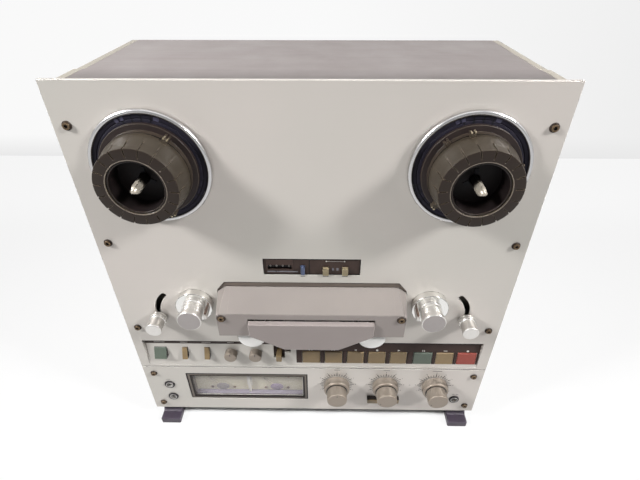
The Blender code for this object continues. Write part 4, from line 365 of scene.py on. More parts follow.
def grown(name, steps, places, finish, body, slot, **sizes):
    """Runs the tree on points at these places and settles what it makes."""
    points = bpy.data.meshes.new(name + "_points")
    points.from_pydata(places, [], [])
    carrier = bpy.data.objects.new(name + "_points", points)
    scene.collection.objects.link(carrier)
    run = carrier.modifiers.new("steps", "NODES")
    run.node_group = steps.tree
    sizes["Finish"] = finish.material
    for socket in steps.tree.interface.items_tree:
        if socket.in_out == "INPUT" and socket.name in sizes:
            run[socket.identifier] = sizes[socket.name]
    seen_by = carrier.evaluated_get(bpy.context.evaluated_depsgraph_get())
    mesh = bpy.data.meshes.new_from_object(seen_by)
    carrier.modifiers.remove(run)
    bpy.data.objects.remove(carrier)
    return settled(name, mesh, finish, body, slot)


hex_screw = Steps("hex_screw", Head=0.0042, Height=0.0012, Socket=0.0021, Depth=0.0013,
                  Turn=(math.pi / 2, 0.0, 0.0))
head = hex_screw.node("GeometryNodeMeshCone", values={
    "Vertices": 32, "Radius Bottom": hex_screw.size("Head"), "Radius Top": hex_screw.size("Head") * 0.84,
    "Depth": hex_screw.size("Height")})
bore = hex_screw.node("GeometryNodeMeshCylinder", values={
    "Vertices": 6, "Radius": hex_screw.size("Socket"), "Depth": hex_screw.size("Depth") * 2})
bore = hex_screw.node("GeometryNodeTransform", values={
    0: bore, "Translation": hex_screw.vector(z=hex_screw.size("Height"))})
head = hex_screw.node("GeometryNodeMeshBoolean", {"operation": "DIFFERENCE"},
                      {"Mesh 1": head, "Mesh 2": bore})
hex_screw.end(hex_screw.copies(hex_screw.size("Geometry"), head, hex_screw.size("Turn")))

screw_brown = mottled("brown_plated_screw", (122, 102, 80), 0.36, (84, 68, 52), (190, 172, 142),
                      metallic=0.75, scale=700, edge_wear_and_highlight=0.0003, grain=2500)
SCREW_X = 203.5
SCREW_UPS = (12.5, 73.5, 157, 278, 399)
screw_places = [on_front(side * SCREW_X, up, -0.1) for side in (-1, 1) for up in SCREW_UPS]
# A dark ring lies under each screw head, and a dark disc painted as shade sits deep in each socket.
under_head_ring = mottled("dark_washer", (58, 48, 42), 0.5, (46, 38, 32), specular=0.2, scale=300)
socket_pit_shade = mottled("screw_pit_dark", (20, 16, 14), 0.6, (14, 11, 10), specular=0.1, scale=300)


def screwed(name, spots, sizes, turn=(math.pi / 2, 0.0, 0.0)):
    """Socket screws with a dark disc painted as shade deep in each socket and a dark ring under each
    head. The sizes are radius and height of the head, then the ring's.
    """
    radius, height, ring_radius, ring_height = sizes
    grown(name, hex_screw, spots, screw_brown, "case", "plated_steel", Head=radius, Height=height, Turn=turn,
          Socket=radius * 0.55)
    grown(name + "_pits", hex_screw, spots, socket_pit_shade, "case", "plated_steel", Head=radius * 0.46,
          Height=height - 0.0009, Socket=radius * 0.1, Depth=0.0002, Turn=turn)
    grown(name + "_washers", hex_screw, spots, under_head_ring, "case", "plated_steel", Head=ring_radius,
          Height=ring_height, Socket=radius * 0.5, Depth=0.0002, Turn=turn)


PANEL_SCREW = (0.0035, 0.0026, 0.0044, 0.0014)
screwed("panel_screws", screw_places, PANEL_SCREW)


# Cover, side panels and rear
# A folded steel cover in mauve-grey grained vinyl, two side panels of the same warm silver with a
# step near the front, and a painted rear panel with vents, line sockets and four rubber bumpers.

cover_vinyl = mottled("mauve_grey_vinyl", (152, 143, 142), 0.46, (140, 130, 131), (176, 168, 164), scale=20,
                      edge_wear_and_highlight=0.0006, grain=1500, depth=0.00005, spread=0.14)
lines = cover_vinyl.cloud(1, 4, cover_vinyl.places((5, 260, 260)))
streaks = cover_vinyl.between(lines, 0.35, 0.7)
# The cover is painted lighter toward the left (painted light) and darker along its front edge by the panel
# (painted shade).
left_lit_tone = cover_vinyl.blend(cover_vinyl.between(cover_vinyl.along(0), 0.0, -0.17), tint(124, 116, 114),
                          tint(136, 128, 126))
streaked = cover_vinyl.blend(streaks * 0.35, left_lit_tone, tint(111, 104, 102))
front_edge_shade = cover_vinyl.between(cover_vinyl.along(1), -0.02, -0.068)
cover_vinyl.feed("Base Color", cover_vinyl.blend(front_edge_shade, streaked, tint(87, 80, 78)))
dress(cover_vinyl, "top_cover")
side_silver = brushed(Finish("side_panel_silver", (172, 165, 153), 0.45, 0.3), (163, 156, 144),
                      (216, 210, 198), strokes=(500, 6, 500))
dress(side_silver, "side_panel_left", "side_panel_right")
rear_paint = mottled("rear_grey_paint", (96, 94, 92), 0.55, (84, 82, 80), (150, 148, 144), scale=30,
                     edge_wear_and_highlight=0.0005, grain=1800, depth=0.00004)
dress(rear_paint, "rear_panel")

SIDE_OUTER = 213.2
REAR_OUT = -193.0
COVER_SCREW = (0.0036, 0.0019, 0.0045, 0.0012)
side_turns = {-1: (0.0, -math.pi / 2, 0.0), 1: (0.0, math.pi / 2, 0.0)}
for side, word in SIDES:
    spots = [on_front(side * (SIDE_OUTER + 0.1), up, out) for up in (40, 395) for out in (-90, -165)]
    screwed("side_screws_" + word, spots, COVER_SCREW, side_turns[side])
rear_spots = [on_front(x, up, REAR_OUT - 0.1) for x in (-190, 0, 190) for up in (10, 415)]
screwed("rear_screws", rear_spots, COVER_SCREW, (-math.pi / 2, 0.0, 0.0))


def eased(profile, radius, closed=False, steps=4):
    """The same outline with its corners rounded by up to this radius."""
    points = [Vector(point) for point in profile]
    count = len(points)
    made = []
    for index, corner in enumerate(points):
        if not closed and index in (0, count - 1):
            made.append(corner)
            continue
        before = points[index - 1] - corner
        after = points[(index + 1) % count] - corner
        reach = min(radius, before.length * 0.45, after.length * 0.45)
        first = corner + before.normalized() * reach
        last = corner + after.normalized() * reach
        for step in range(steps + 1):
            share = step / steps
            made.append(first.lerp(corner, share).lerp(corner.lerp(last, share), share))
    return [tuple(point) for point in made]


def grid_mesh(name, rows, round_rows=True, round_profile=False):
    """A skin over rows of points, joined row to row, and closed round where asked."""
    width = len(rows[0])
    corners = [point for row in rows for point in row]
    faces = []
    for row in range(len(rows) if round_rows else len(rows) - 1):
        near = row * width
        far = (row + 1) % len(rows) * width
        for column in range(width if round_profile else width - 1):
            beside = (column + 1) % width
            faces.append((near + column, near + beside, far + beside, far + column))
    mesh = bpy.data.meshes.new(name)
    mesh.from_pydata(corners, [], faces)
    return mesh


def polar(centre, radius, angle):
    return centre[0] + radius * math.cos(angle), centre[1] + radius * math.sin(angle)


def angles(count):
    """The angles of so many equal steps round a circle."""
    return [math.tau * step / count for step in range(count)]


def turned(name, centre, profile, finish, body, slot, steps=96, rounding=0.4, closed=False, sharp=40):
    """A piece turned about a line out of the panel at centre. The profile is radius and out."""
    outline = eased(profile, rounding, closed)
    rows = [[on_front(*polar(centre, radius, angle), out) for radius, out in outline]
            for angle in angles(steps)]
    made = settled(name, grid_mesh(name, rows, True, closed), finish, body, slot, sharp)
    rings = made.data.uv_layers.new(name="rings")
    for loop in made.data.loops:
        point = made.data.vertices[loop.vertex_index].co
        radius = math.hypot(point.x - centre[0] / 1000, point.z - (centre[1] + FOOT_HEIGHT) / 1000)
        rings.data[loop.index].uv = (radius * 10, -point.y * 10)
    return made


def lathed(finish, darker, spread=0.16, rings=420, depth=0.000015):
    """Marks of a lathe: fine rings round the piece's own axis, by its radius and out."""
    where = finish.node("ShaderNodeUVMap", {"uv_map": "rings"})
    marks = finish.cloud(rings, 2, where)
    blotches = finish.between(finish.cloud(90, 2), 0.3, 0.7)
    tone = finish.blend(finish.between(marks, 0.3, 0.7) * 0.5, finish.colour, tint(*darker))
    finish.feed("Base Color", tone)
    finish.feed("Roughness", finish.roughness + (marks - 0.5) * spread + blotches * 0.05)
    finish.emboss(marks, depth)
    return finish


gold_socket = lathed(Finish("line_socket_metal", (214, 196, 150), 0.25, 0.9), (160, 140, 96))
SOCKET_CORNER = (-120, 60)
SOCKET_PITCH = 22
LINE_SOCKET_PROFILE = [(4.35, REAR_OUT + 0.1), (4.35, REAR_OUT - 8.1), (2.1, REAR_OUT - 8.1),
                       (2.1, REAR_OUT - 6)]
COLLAR_PROFILE = [(4.5, REAR_OUT + 0.1), (7.2, REAR_OUT + 0.1), (7.2, REAR_OUT - 1.6), (4.5, REAR_OUT - 1.6)]
for column, (name, colour, darker) in enumerate((
        ("white_socket_collar", (222, 218, 208), (206, 200, 190)),
        ("red_socket_collar", (172, 44, 40), (140, 32, 30)))):
    collar = mottled(name, colour, 0.4, darker, scale=300)
    for row in range(2):
        spot = (SOCKET_CORNER[0] + column * SOCKET_PITCH, SOCKET_CORNER[1] + row * SOCKET_PITCH)
        label = f"line_socket_{row}_{column}"
        turned(label, spot, LINE_SOCKET_PROFILE, gold_socket, "case", "plated_steel", 40, 0.3)
        turned(label + "_collar", spot, COLLAR_PROFILE, collar, "case", "black_plastic", 40, 0.3, True)


BOX_FACES = ((0, 1, 3, 2), (4, 6, 7, 5), (0, 4, 5, 1), (2, 3, 7, 6), (0, 2, 6, 4), (1, 5, 7, 3))


def meshed(solid, name):
    """The mesh of what has been built in this bmesh, which is then freed."""
    mesh = bpy.data.meshes.new(name)
    solid.to_mesh(mesh)
    solid.free()
    return mesh


def boxes(name, items, finish, body, slot, rounding=0.25, lean=None, sharp=40):
    """Plain blocks with rounded edges, each (xs, ups, outs). lean gives the out of a tilted face."""
    solid = bmesh.new()
    for xs, ups, outs in items:
        corners = [solid.verts.new((x, up, out + (lean(up) if lean else 0)))
                   for out in outs for up in ups for x in xs]
        for face in BOX_FACES:
            solid.faces.new([corners[index] for index in face])
    if rounding:
        bmesh.ops.bevel(solid, geom=solid.edges[:], offset=rounding, segments=2, affect="EDGES", profile=0.6)
    for corner in solid.verts:
        corner.co = on_front(*corner.co)
    return settled(name, meshed(solid, name), finish, body, slot, sharp)


inlet_pins = [((x - 1, x + 1), (up - 2, up + 2), (-191, -175)) for x, up in ((123, 45), (137, 45), (130, 49))]
boxes("inlet_pins", inlet_pins, gold_socket, "case", "plated_steel", 0.3)


# Feet
# Two long feet moulded in dark purple-grey plastic, screwed under the tray, each on two rubber pads.

foot_plastic = mottled("dark_foot_plastic", (53, 46, 56), 0.45, (64, 56, 68), (96, 88, 100), scale=50,
                       edge_wear_and_highlight=0.001, grain=1400, depth=0.00006)
dress(foot_plastic, "foot_left", "foot_right")


# Frame behind the panels, with the guides' discs
# Plated steel bulkhead, tray and posts. Each guide roller stands before a mirror-bright turned disc,
# and beside it stands a thin pin that feels the tape, with a dark end stop.

zinc = mottled("zinc_plated_steel", (120, 118, 112), 0.42, (92, 90, 84), metallic=0.8, scale=25, grain=800)
dress(zinc, "chassis")
mirror = lathed(Finish("mirror_turned_metal", (238, 237, 234), 0.15, 1.0), (220, 218, 215), 0.06, 300,
                0.000004)
bright = lathed(Finish("bright_turned_aluminium", (226, 223, 219), 0.3, 0.9), (188, 185, 180))
stop_brown = mottled("brown_end_stop", (74, 56, 46), 0.45, (58, 44, 36), scale=400)

GUIDE_X = 129
GUIDE_UP = 197
PIN_X = 113.8
GUIDE_DISC_PROFILE = [(3.2, 8.28), (19.4, 8.28), (20.08, 7.8), (20.08, 0.15), (19.0, 0.15), (19.0, 7.4),
                      (3.2, 7.4)]
SENSOR_PIN_PROFILE = [(0, 22.2), (1.98, 22.2), (1.98, 8.1), (0, 8.1)]
for side, word in SIDES:
    centre = (side * GUIDE_X, GUIDE_UP)
    turned("guide_disc_" + word, centre, GUIDE_DISC_PROFILE, mirror, "case", "polished_metal", 128, 0.5,
           True)
    pin = (side * PIN_X, GUIDE_UP)
    turned("sensor_pin_" + word, pin, SENSOR_PIN_PROFILE, bright, "case", "polished_metal", 32, 0.5)
    boxes("sensor_stop_" + word, [((pin[0] - 1.2, pin[0] + 1.2), (GUIDE_UP + 1.7, GUIDE_UP + 3.4),
                                   (8.3, 20))], stop_brown, "case", "black_plastic", 0.3)
    boxes("sensor_frame_" + word, [((pin[0] - 1.9, pin[0] + 1.9), (GUIDE_UP - 3.0, GUIDE_UP - 1.9),
                                    (8.3, 22))], bright, "case", "polished_metal", 0.3)


# Reel tables
# A turned disc with a polished rolled rim round a dark rubber mat, on the motor's shaft, with a
# three-lobed steel spindle. The mat has a fine ring and three groups of short slots moulded in it.

REEL_X = 140
REEL_UP = 361
SPINDLE_SECTIONS = ((2.4, 1.0), (41.6, 1.0), (43.4, 0.86), (44.9, 0.66), (45.8, 0.36), (45.8, 0))
mat_rubber = mottled("blue_black_mat", (33, 30, 42), 0.62, (24, 22, 32), specular=0.2, scale=120,
                     grain=1500, depth=0.00005)
slot_dark = mottled("mat_slot_dark", (15, 14, 20), 0.5, (10, 10, 14), specular=0.2, scale=300)
spindle_steel = lathed(Finish("spindle_steel", (196, 188, 174), 0.34, 0.6), (160, 152, 140))
# The spindle's foot, deep in the hub's cup, is painted dark as shade.
shade = spindle_steel.between(spindle_steel.along(1), -0.1085, -0.1135)
spindle_steel.feed("Base Color", spindle_steel.blend(shade, tint(52, 48, 46), tint(190, 182, 168)))
rim_chrome = lathed(Finish("polished_rim_chrome", (204, 203, 203), 0.2, 1.0), (186, 185, 187), 0.06, 300,
                    0.000004)
mat_block = mottled("mat_block_blue_grey", (62, 60, 80), 0.5, (50, 48, 66), scale=300)

ring_of_bars = Steps("ring_of_bars", Count=12, Start=0.0, Sweep=math.tau, Radius=0.02, Length=0.003,
                     Width=0.0005, Thickness=0.0002)
line = ring_of_bars.node("GeometryNodeMeshLine", values={
    "Count": ring_of_bars.size("Count"), "Offset": (0, 0, 0)})
length, thickness = ring_of_bars.size("Length"), ring_of_bars.size("Thickness")
share = ring_of_bars.node("GeometryNodeInputIndex") * ring_of_bars.size("Sweep")
turn = ring_of_bars.size("Start") + share / (ring_of_bars.size("Count") - 1)
bar = ring_of_bars.node("GeometryNodeMeshCube", values={
    "Size": ring_of_bars.vector(length, thickness, ring_of_bars.size("Width"))})
bar = ring_of_bars.node("GeometryNodeTransform", values={0: bar, "Translation": ring_of_bars.vector(
    ring_of_bars.size("Radius") + length * 0.5, thickness * -0.5)})
whole_ring = ring_of_bars.copies(line, bar, ring_of_bars.vector(y=0 - turn))
ring_of_bars.end(ring_of_bars.copies(ring_of_bars.size("Geometry"), whole_ring))


def lobed(centre, out, share=1.0, core=3.4, lobe=4.4, half=1.3, steps=5):
    """One section of the spindle: a round core with three narrow lobes."""
    points = []
    for index in range(3):
        middle = math.pi / 2 + index * math.tau / 3
        tip = math.asin(half / lobe)
        root = math.asin(half / core)
        for step in range(steps):
            angle = middle - tip + 2 * tip * step / (steps - 1)
            points.append((lobe, angle))
        for step in range(steps * 2):
            angle = middle + root + (math.tau / 3 - 2 * root) * step / (steps * 2 - 1)
            points.append((core, angle))
    return [on_front(*polar(centre, radius * share, angle), out) for radius, angle in points]


REEL_PLATTER_PROFILE = [(0, 2.4), (49.6, 2.4), (49.6, 1.4), (6, 1.4), (6, -60), (0, -60)]
REEL_RIM_PROFILE = [(49.3, 1.4), (49.3, 4.3), (50.2, 5.5), (51.4, 5.8), (52.7, 5.4), (53.6, 4.4),
                    (53.8, 3.0), (53.8, 1.4)]
REEL_MAT_PROFILE = [(6.2, 2.4), (6.2, 4.1), (45.2, 4.1), (45.5, 3.6), (46.1, 3.6), (46.4, 4.1), (49.2, 4.1),
                    (49.2, 2.4)]
for side, word in SIDES:
    centre = (side * REEL_X, REEL_UP)
    body = "reel_table_" + word
    platter = turned("reel_platter_" + word, centre, REEL_PLATTER_PROFILE, bright, body, "polished_metal", 96)
    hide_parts(body)
    turned("reel_rim_" + word, centre, REEL_RIM_PROFILE, rim_chrome, body, "polished_metal", 160, 0.7, True)
    turned("reel_mat_" + word, centre, REEL_MAT_PROFILE, mat_rubber, body, "roller_rubber", 128, 0.25, True)
    for group in range(3):
        grown(f"mat_slots_{word}_{group}", ring_of_bars, [on_front(*centre, 4.08)], slot_dark, body,
              "roller_rubber", Count=4, Start=math.radians(77 + group * 120), Sweep=math.radians(30),
              Radius=0.0432, Length=0.0058, Width=0.0011, Thickness=0.00016)
    for number, degrees in enumerate((72, 108, 112)):
        spread = math.radians(degrees)
        arc_ends = (spread - 0.05, spread + 0.05)
        rows = [[on_front(*polar(centre, radius, angle), out)
                 for radius, out in ((45.9, 4.0), (45.9, 4.3), (48.9, 4.3), (48.9, 4.0))]
                for angle in (arc_ends[0] + (arc_ends[1] - arc_ends[0]) * step / 6 for step in range(7))]
        block = f"mat_block_{word}_{number}"
        settled(block, grid_mesh(block, rows, False, True), mat_block, body, "roller_rubber")
    sections = [lobed(centre, out, share) for out, share in SPINDLE_SECTIONS]
    spindle = grid_mesh("spindle_" + word, sections, False, True)
    settled("spindle_" + word, spindle, spindle_steel, body, "spool_metal", 30)


# Locking hubs
# Each hub is two mouldings in dark brown plastic: a base with a flange, three keys and a thin inner
# tube, and a tapered ring with three keys of its own, which turns to lock the reel. Eighteen narrow
# grooves run over the ring's face and down its side for grip.

def moulded_brown(name, side, face, out_low, out_high):
    """Brown moulding in two tones of one plastic: its front face is painted darker as shade and its
    side lighter as light, and its edges are painted lighter as highlights.
    """
    made = mottled(name, side, 0.38, tuple(part - 9 for part in side), specular=0.3, scale=45, grain=1300,
                   depth=0.00003, spread=0.12)
    front = made.between(made.along(1), (-PANEL_BEHIND_ORIGIN - out_low) / 1000,
                         (-PANEL_BEHIND_ORIGIN - out_high) / 1000)
    patches = made.between(made.cloud(45, 3), 0.3, 0.7)
    lit_side_tone = made.blend(patches, tint(*(part - 8 for part in side)), tint(*side))
    colour = made.blend(front, lit_side_tone, tint(*face))
    made.feed("Base Color", made.blend(made.edges(0.0005) * 0.55, colour, tint(128, 114, 98)))
    return made


# The hubs' faces take the darker tone and their sides the lighter one: painted shade and light.
hub_brown = moulded_brown("brown_hub_plastic", (60, 53, 44), (36, 27, 21), 39.3, 39.8)
base_brown = moulded_brown("brown_hub_base_plastic", (58, 50, 43), (34, 26, 23), 20, 30)
# The flange is given a darker tone than the rest of the base.
flange_dark = mottled("dark_flange_plastic", (42, 34, 32), 0.4, (34, 27, 26), (104, 90, 78), specular=0.2,
                      scale=45, edge_wear_and_highlight=0.0004, grain=1300, depth=0.00003)
seam_black = mottled("black_seam_shadow", (14, 12, 11), 0.6, (9, 8, 8), specular=0.2, scale=300)
# A dark sheet over the inside of the hub's cup is painted shade.
cup_shade_finish = mottled("dark_cup_lining", (27, 20, 20), 0.5, (18, 14, 14), specular=0.2, scale=80)
cup_edge = mottled("cup_edge_plastic", (122, 112, 100), 0.3, (106, 96, 86), scale=200)
clip_metal = mottled("key_spring_metal", (196, 184, 158), 0.3, (150, 136, 112), metallic=0.6, scale=500)
KEY_WIDTH = 5.0


def hub_keys(centre, start, outs, solid):
    """Three rounded keys, each split by a notch, added to this mesh in the front frame."""
    for index in range(3):
        angle = start + index * math.tau / 3
        across = Vector((-math.sin(angle), math.cos(angle)))
        along = Vector((math.cos(angle), math.sin(angle)))
        for low, high, reach in ((-KEY_WIDTH / 2, -0.7, 42.5), (0.7, KEY_WIDTH / 2, 42.5), (-0.9, 0.9, 40.6)):
            made = []
            for out in outs:
                for radius in (35.5, reach):
                    for wide in (low, high):
                        spot = Vector(centre) + along * radius + across * wide
                        made.append(solid.verts.new((spot.x, spot.y, out)))
            faces = [solid.faces.new([made[corner] for corner in face]) for face in BOX_FACES]
            rim = list({edge for face in faces for edge in face.edges})
            bmesh.ops.bevel(solid, geom=rim, offset=0.35, segments=2, affect="EDGES", profile=0.6)


def hub_piece(name, rows, closed, centre, key_angle, key_outs, finish, body):
    solid = bmesh.new()
    solid.from_mesh(grid_mesh(name, rows, True, closed))
    hub_keys(centre, key_angle, key_outs, solid)
    for corner in solid.verts:
        corner.co = on_front(*corner.co)
    return settled(name, meshed(solid, name), finish, body, "hub_plastic", 40)


base_outline = eased([(4.8, 19), (22.6, 19), (22.6, 38.8), (24.2, 38.8), (24.2, 14.7), (37.8, 14.7),
                      (37.8, 8.9), (38.8, 8.7), (43.0, 8.2), (43.0, 4.5), (4.8, 4.5)], 0.5, True)
face_outline = [(24.5, 39.6), (24.9, 40.0), (26.8, 40.0), (27.5, 40.0), (28.0, 40.0), (33.8, 40.0),
                (34.6, 39.8), (35.0, 39.1), (35.1, 34.0), (36.2, 28.2), (36.4, 27.4), (37.7, 20.4),
                (37.8, 19.6), (37.8, 15.3), (37.5, 15.0), (24.5, 15.0)]
GROOVE_DEPTHS = (0, 0, 0, 0.2, 0.9, 0.9, 0.9, 0.9, 0.9, 0.8, 0.1, 0, 0, 0, 0, 0)
GROOVE_COUNT = 18
CUP_SHADE_PROFILE = [(4.9, 19.05), (22.4, 19.05), (22.5, 19.3), (22.5, 37.6)]
HUB_FLANGE_PROFILE = [(37.9, 8.95), (38.8, 8.78), (42.4, 8.3), (43.06, 7.9), (43.06, 4.6), (42.0, 4.6),
                      (42.0, 7.6), (37.9, 8.4)]
HUB_SEAM_PROFILE = [(37.0, 14.1), (37.9, 14.1), (37.9, 14.68), (37.0, 14.68)]
CUP_EDGE_PROFILE = [(24.55, 39.5), (24.6, 40.04), (24.9, 40.1), (25.3, 40.04), (25.3, 39.5)]
for side, word in SIDES:
    centre = (side * REEL_X, REEL_UP)
    base_turn = math.radians(54 if side < 0 else 12)
    ring_turn = math.radians(54 if side < 0 else 102.5)
    rows = [[(*polar(centre, radius, angle), out) for radius, out in base_outline] for angle in angles(120)]
    base = hub_piece("hub_base_fine_" + word, rows, True, centre, base_turn, (10.7, 14.7), base_brown,
                     "hub_base_" + word)
    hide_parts("hub_base_" + word)
    rows = []
    for groove in range(GROOVE_COUNT):
        middle = ring_turn + groove * math.tau / GROOVE_COUNT
        pitch = math.tau / GROOVE_COUNT
        for turn_by, cut in ((-0.0165, 0), (-0.0125, 1), (0.0125, 1), (0.0165, 0), (pitch * 0.2, 0),
                             (pitch * 0.4, 0), (pitch * 0.6, 0), (pitch * 0.8, 0)):
            angle = middle + turn_by
            row = []
            for (radius, out), depth in zip(face_outline, GROOVE_DEPTHS):
                on_side = out < 39.9 and radius > 34
                radius -= depth * cut if on_side else 0
                out -= depth * cut if radius < 34.7 and out > 38.5 else 0
                row.append((*polar(centre, radius, angle), out))
            rows.append(row)
    ring = hub_piece("hub_ring_fine_" + word, rows, True, centre, ring_turn, (15.0, 20.0), hub_brown,
                     "hub_ring_" + word)
    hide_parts("hub_ring_" + word)
    # The inside of the cup is covered with a dark sheet as painted shade.
    turned("cup_lining_" + word, centre, CUP_SHADE_PROFILE, cup_shade_finish, "hub_base_" + word, "hub_plastic",
           96, 0.2)
    grown("cup_star_" + word, ring_of_bars, [on_front(*centre, 19.05)], slot_dark, "hub_base_" + word,
          "hub_plastic", Count=3, Start=math.radians(90), Sweep=math.radians(240), Radius=0.0048,
          Length=0.0052, Width=0.0034, Thickness=0.0007)
    turned("hub_flange_" + word, centre, HUB_FLANGE_PROFILE, flange_dark, "hub_base_" + word, "hub_plastic",
           120, 0.2, True)
    turned("hub_seam_" + word, centre, HUB_SEAM_PROFILE, seam_black, "hub_base_" + word, "black_plastic",
           120, 0.05, True)
    turned("cup_edge_" + word, centre, CUP_EDGE_PROFILE, cup_edge, "hub_ring_" + word, "hub_plastic", 120,
           0.1, True)
    clips = []
    for index in range(3):
        angle = ring_turn + index * math.tau / 3
        middle = polar(centre, 41.9, angle)
        for shift in (-1.5, 1.5):
            x = middle[0] - shift * math.sin(angle)
            up = middle[1] + shift * math.cos(angle)
            clips.append(((x - 0.7, x + 0.7), (up - 0.7, up + 0.7), (15.6, 20.3)))
    boxes("key_clips_" + word, clips, clip_metal, "hub_ring_" + word, "spool_metal", 0.3)


# Tension arms
# A steel arm behind the panel carries a polished spool through the curved slot. The spool is turned
# from aluminium: a collar, a waist that the tape runs over, and a cap with a machined face.

arm_steel = mottled("tension_arm_steel", (176, 172, 164), 0.3, (150, 146, 138), metallic=0.85, scale=150)
cap_white = lathed(Finish("machined_cap_face", (160, 154, 152), 0.45, 0.4), (150, 144, 142))
dress(arm_steel, "tension_arm_left", "tension_arm_right")
SPOOL_X = 139 + 35 * math.cos(math.radians(-9.7))
SPOOL_UP = 182 + 35 * math.sin(math.radians(-9.7))
TENSION_SPOOL_PROFILE = [(1.7, 2.95), (9.0, 2.95), (9.56, 3.5), (9.56, 4.4), (9.2, 4.6), (9.2, 5.2),
                         (9.56, 5.4), (9.56, 8.0), (8.08, 9.0), (8.08, 19.2), (8.66, 19.8), (8.66, 22.4),
                         (8.0, 23.05), (0, 23.05)]
for side, word in SIDES:
    centre = (side * SPOOL_X, SPOOL_UP)
    turned("tension_spool_" + word, centre, TENSION_SPOOL_PROFILE, bright, "tension_arm_" + word,
           "spool_metal", 96, 0.4)


# Guide rollers
# Turned aluminium rollers on a ball bearing: a collar with a groove, a ribbed waist and a wider cap
# with a brushed face.

GUIDE_ROLLER_FINE_PROFILE = [(0, 29.0), (12.3, 29.0), (12.9, 28.4), (12.9, 23.6), (12.5, 23.2),
                             (11.7, 23.2), (11.7, 21.0), (11.5, 20.8), (11.5, 20.2), (11.7, 20.0),
                             (11.7, 17.6), (11.5, 17.4), (11.5, 16.8), (11.7, 16.6), (11.7, 13.6),
                             (10.8, 13.6), (10.8, 11.8), (12.4, 11.8), (12.4, 10.6), (12.0, 10.4),
                             (12.0, 9.8), (12.4, 9.6), (12.4, 8.6), (3.2, 8.6), (3.2, 22.9), (0, 22.9)]
GUIDE_CAP_FACE_PROFILE = [(0, 29.02), (12.0, 29.02), (12.1, 28.9), (0, 28.9)]
for side, word in SIDES:
    centre = (side * GUIDE_X, GUIDE_UP)
    body = "guide_roller_" + word
    roller = turned("guide_roller_fine_" + word, centre, GUIDE_ROLLER_FINE_PROFILE, bright, body,
                    "polished_metal", 96, 0.25)
    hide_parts(body)
    turned("guide_cap_face_" + word, centre, GUIDE_CAP_FACE_PROFILE, cap_white, body, "polished_metal", 64,
           0.05)


# Head block
# A milled base carries four heads with curved faces, flanged tape guides and the capstan bearings.
# Each head is a polished shell with two dark track gaps, and the capstans are ground steel shafts.

head_steel = mottled("milled_head_base", (150, 147, 140), 0.38, (128, 125, 118), metallic=0.8, scale=60,
                     grain=700)
dress(head_steel, "pinch_arm_left", "pinch_arm_right")
bay_brown = mottled("brown_grey_head_plate", (116, 106, 100), 0.45, (104, 94, 89), (150, 140, 132),
                    metallic=0.2, scale=60, edge_wear_and_highlight=0.0005, grain=900)
dress(bay_brown, "head_block")
shell_metal = mottled("polished_head_shell", (206, 202, 194), 0.16, (190, 186, 178), metallic=1.0, scale=300)
gap_dark = mottled("head_gap_dark", (40, 34, 30), 0.3, (30, 26, 22), scale=500)
HEAD_XS = (-36, -13, 13, 36)
TAPE_UP = 183.5
TAPE_GUIDE_X = 49
CAPSTAN_X = 66.5
CAPSTAN_UP = 186.5
PINCH_UP = 165.8
NOSE = 11.0
NOSE_UP = TAPE_UP + 0.3 + NOSE
for number, x in enumerate(HEAD_XS):
    half = math.asin(6.25 / NOSE)
    rows = []
    for step in range(17):
        angle = -math.pi / 2 - half + 2 * half * step / 16
        rows.append([on_front(*polar((x, NOSE_UP), radius, angle), out)
                     for radius, out in ((NOSE - 0.2, 10.4), (NOSE + 0.12, 10.4), (NOSE + 0.12, 19.7),
                                         (NOSE - 0.2, 19.7))])
    settled(f"head_shell_{number}", grid_mesh(f"head_shell_{number}", rows, False, True), shell_metal, "case",
            "polished_metal", 30)
    tracks = [((x - 0.25, x + 0.25), (TAPE_UP + 0.12, TAPE_UP + 0.3), (out, out + 1.6))
              for out in (14.0, 17.4)]
    boxes(f"head_gaps_{number}", tracks, gap_dark, "case", "black_plastic", 0)
    boxes(f"head_case_{number}", [((x - 6.5, x + 6.5), (192.5, 204.2), (6.1, 19.9))], shell_metal, "case",
          "polished_metal", 0.5)
TAPE_GUIDE_PROFILE = [(0, 21.15), (4.05, 21.15), (4.05, 20.2), (2.45, 20.2), (2.45, 13.8), (4.05, 13.8),
                      (4.05, 12.85), (2.9, 12.85), (2.9, 6.2), (0, 6.2)]
CAPSTAN_BEARING_PROFILE = [(3.5, -0.9), (7.6, -0.9), (7.6, 1.2), (6.55, 1.6), (6.55, 9.05), (3.5, 9.05)]
CAPSTAN_SHAFT_PROFILE = [(3.04, -4), (3.04, 19.6), (2.6, 20.05), (0, 20.05)]
for side, word in SIDES:
    turned("tape_guide_" + word, (side * TAPE_GUIDE_X, TAPE_UP + 2.4), TAPE_GUIDE_PROFILE, mirror, "case",
           "polished_metal", 48, 0.25)
    turned("capstan_bearing_" + word, (side * CAPSTAN_X, CAPSTAN_UP), CAPSTAN_BEARING_PROFILE, bright,
           "case", "polished_metal", 64, 0.3, True)
    turned("capstan_shaft_" + word, (side * CAPSTAN_X, CAPSTAN_UP), CAPSTAN_SHAFT_PROFILE, mirror,
           "capstan_" + word, "polished_metal", 48, 0.3)
dress(zinc, "capstan_left", "capstan_right")


# Pinch rollers
# A ground rubber tyre on a brass sleeve presses the tape to the capstan, under a wide white moulded
# cap that lifts off. The arms are pressed steel.

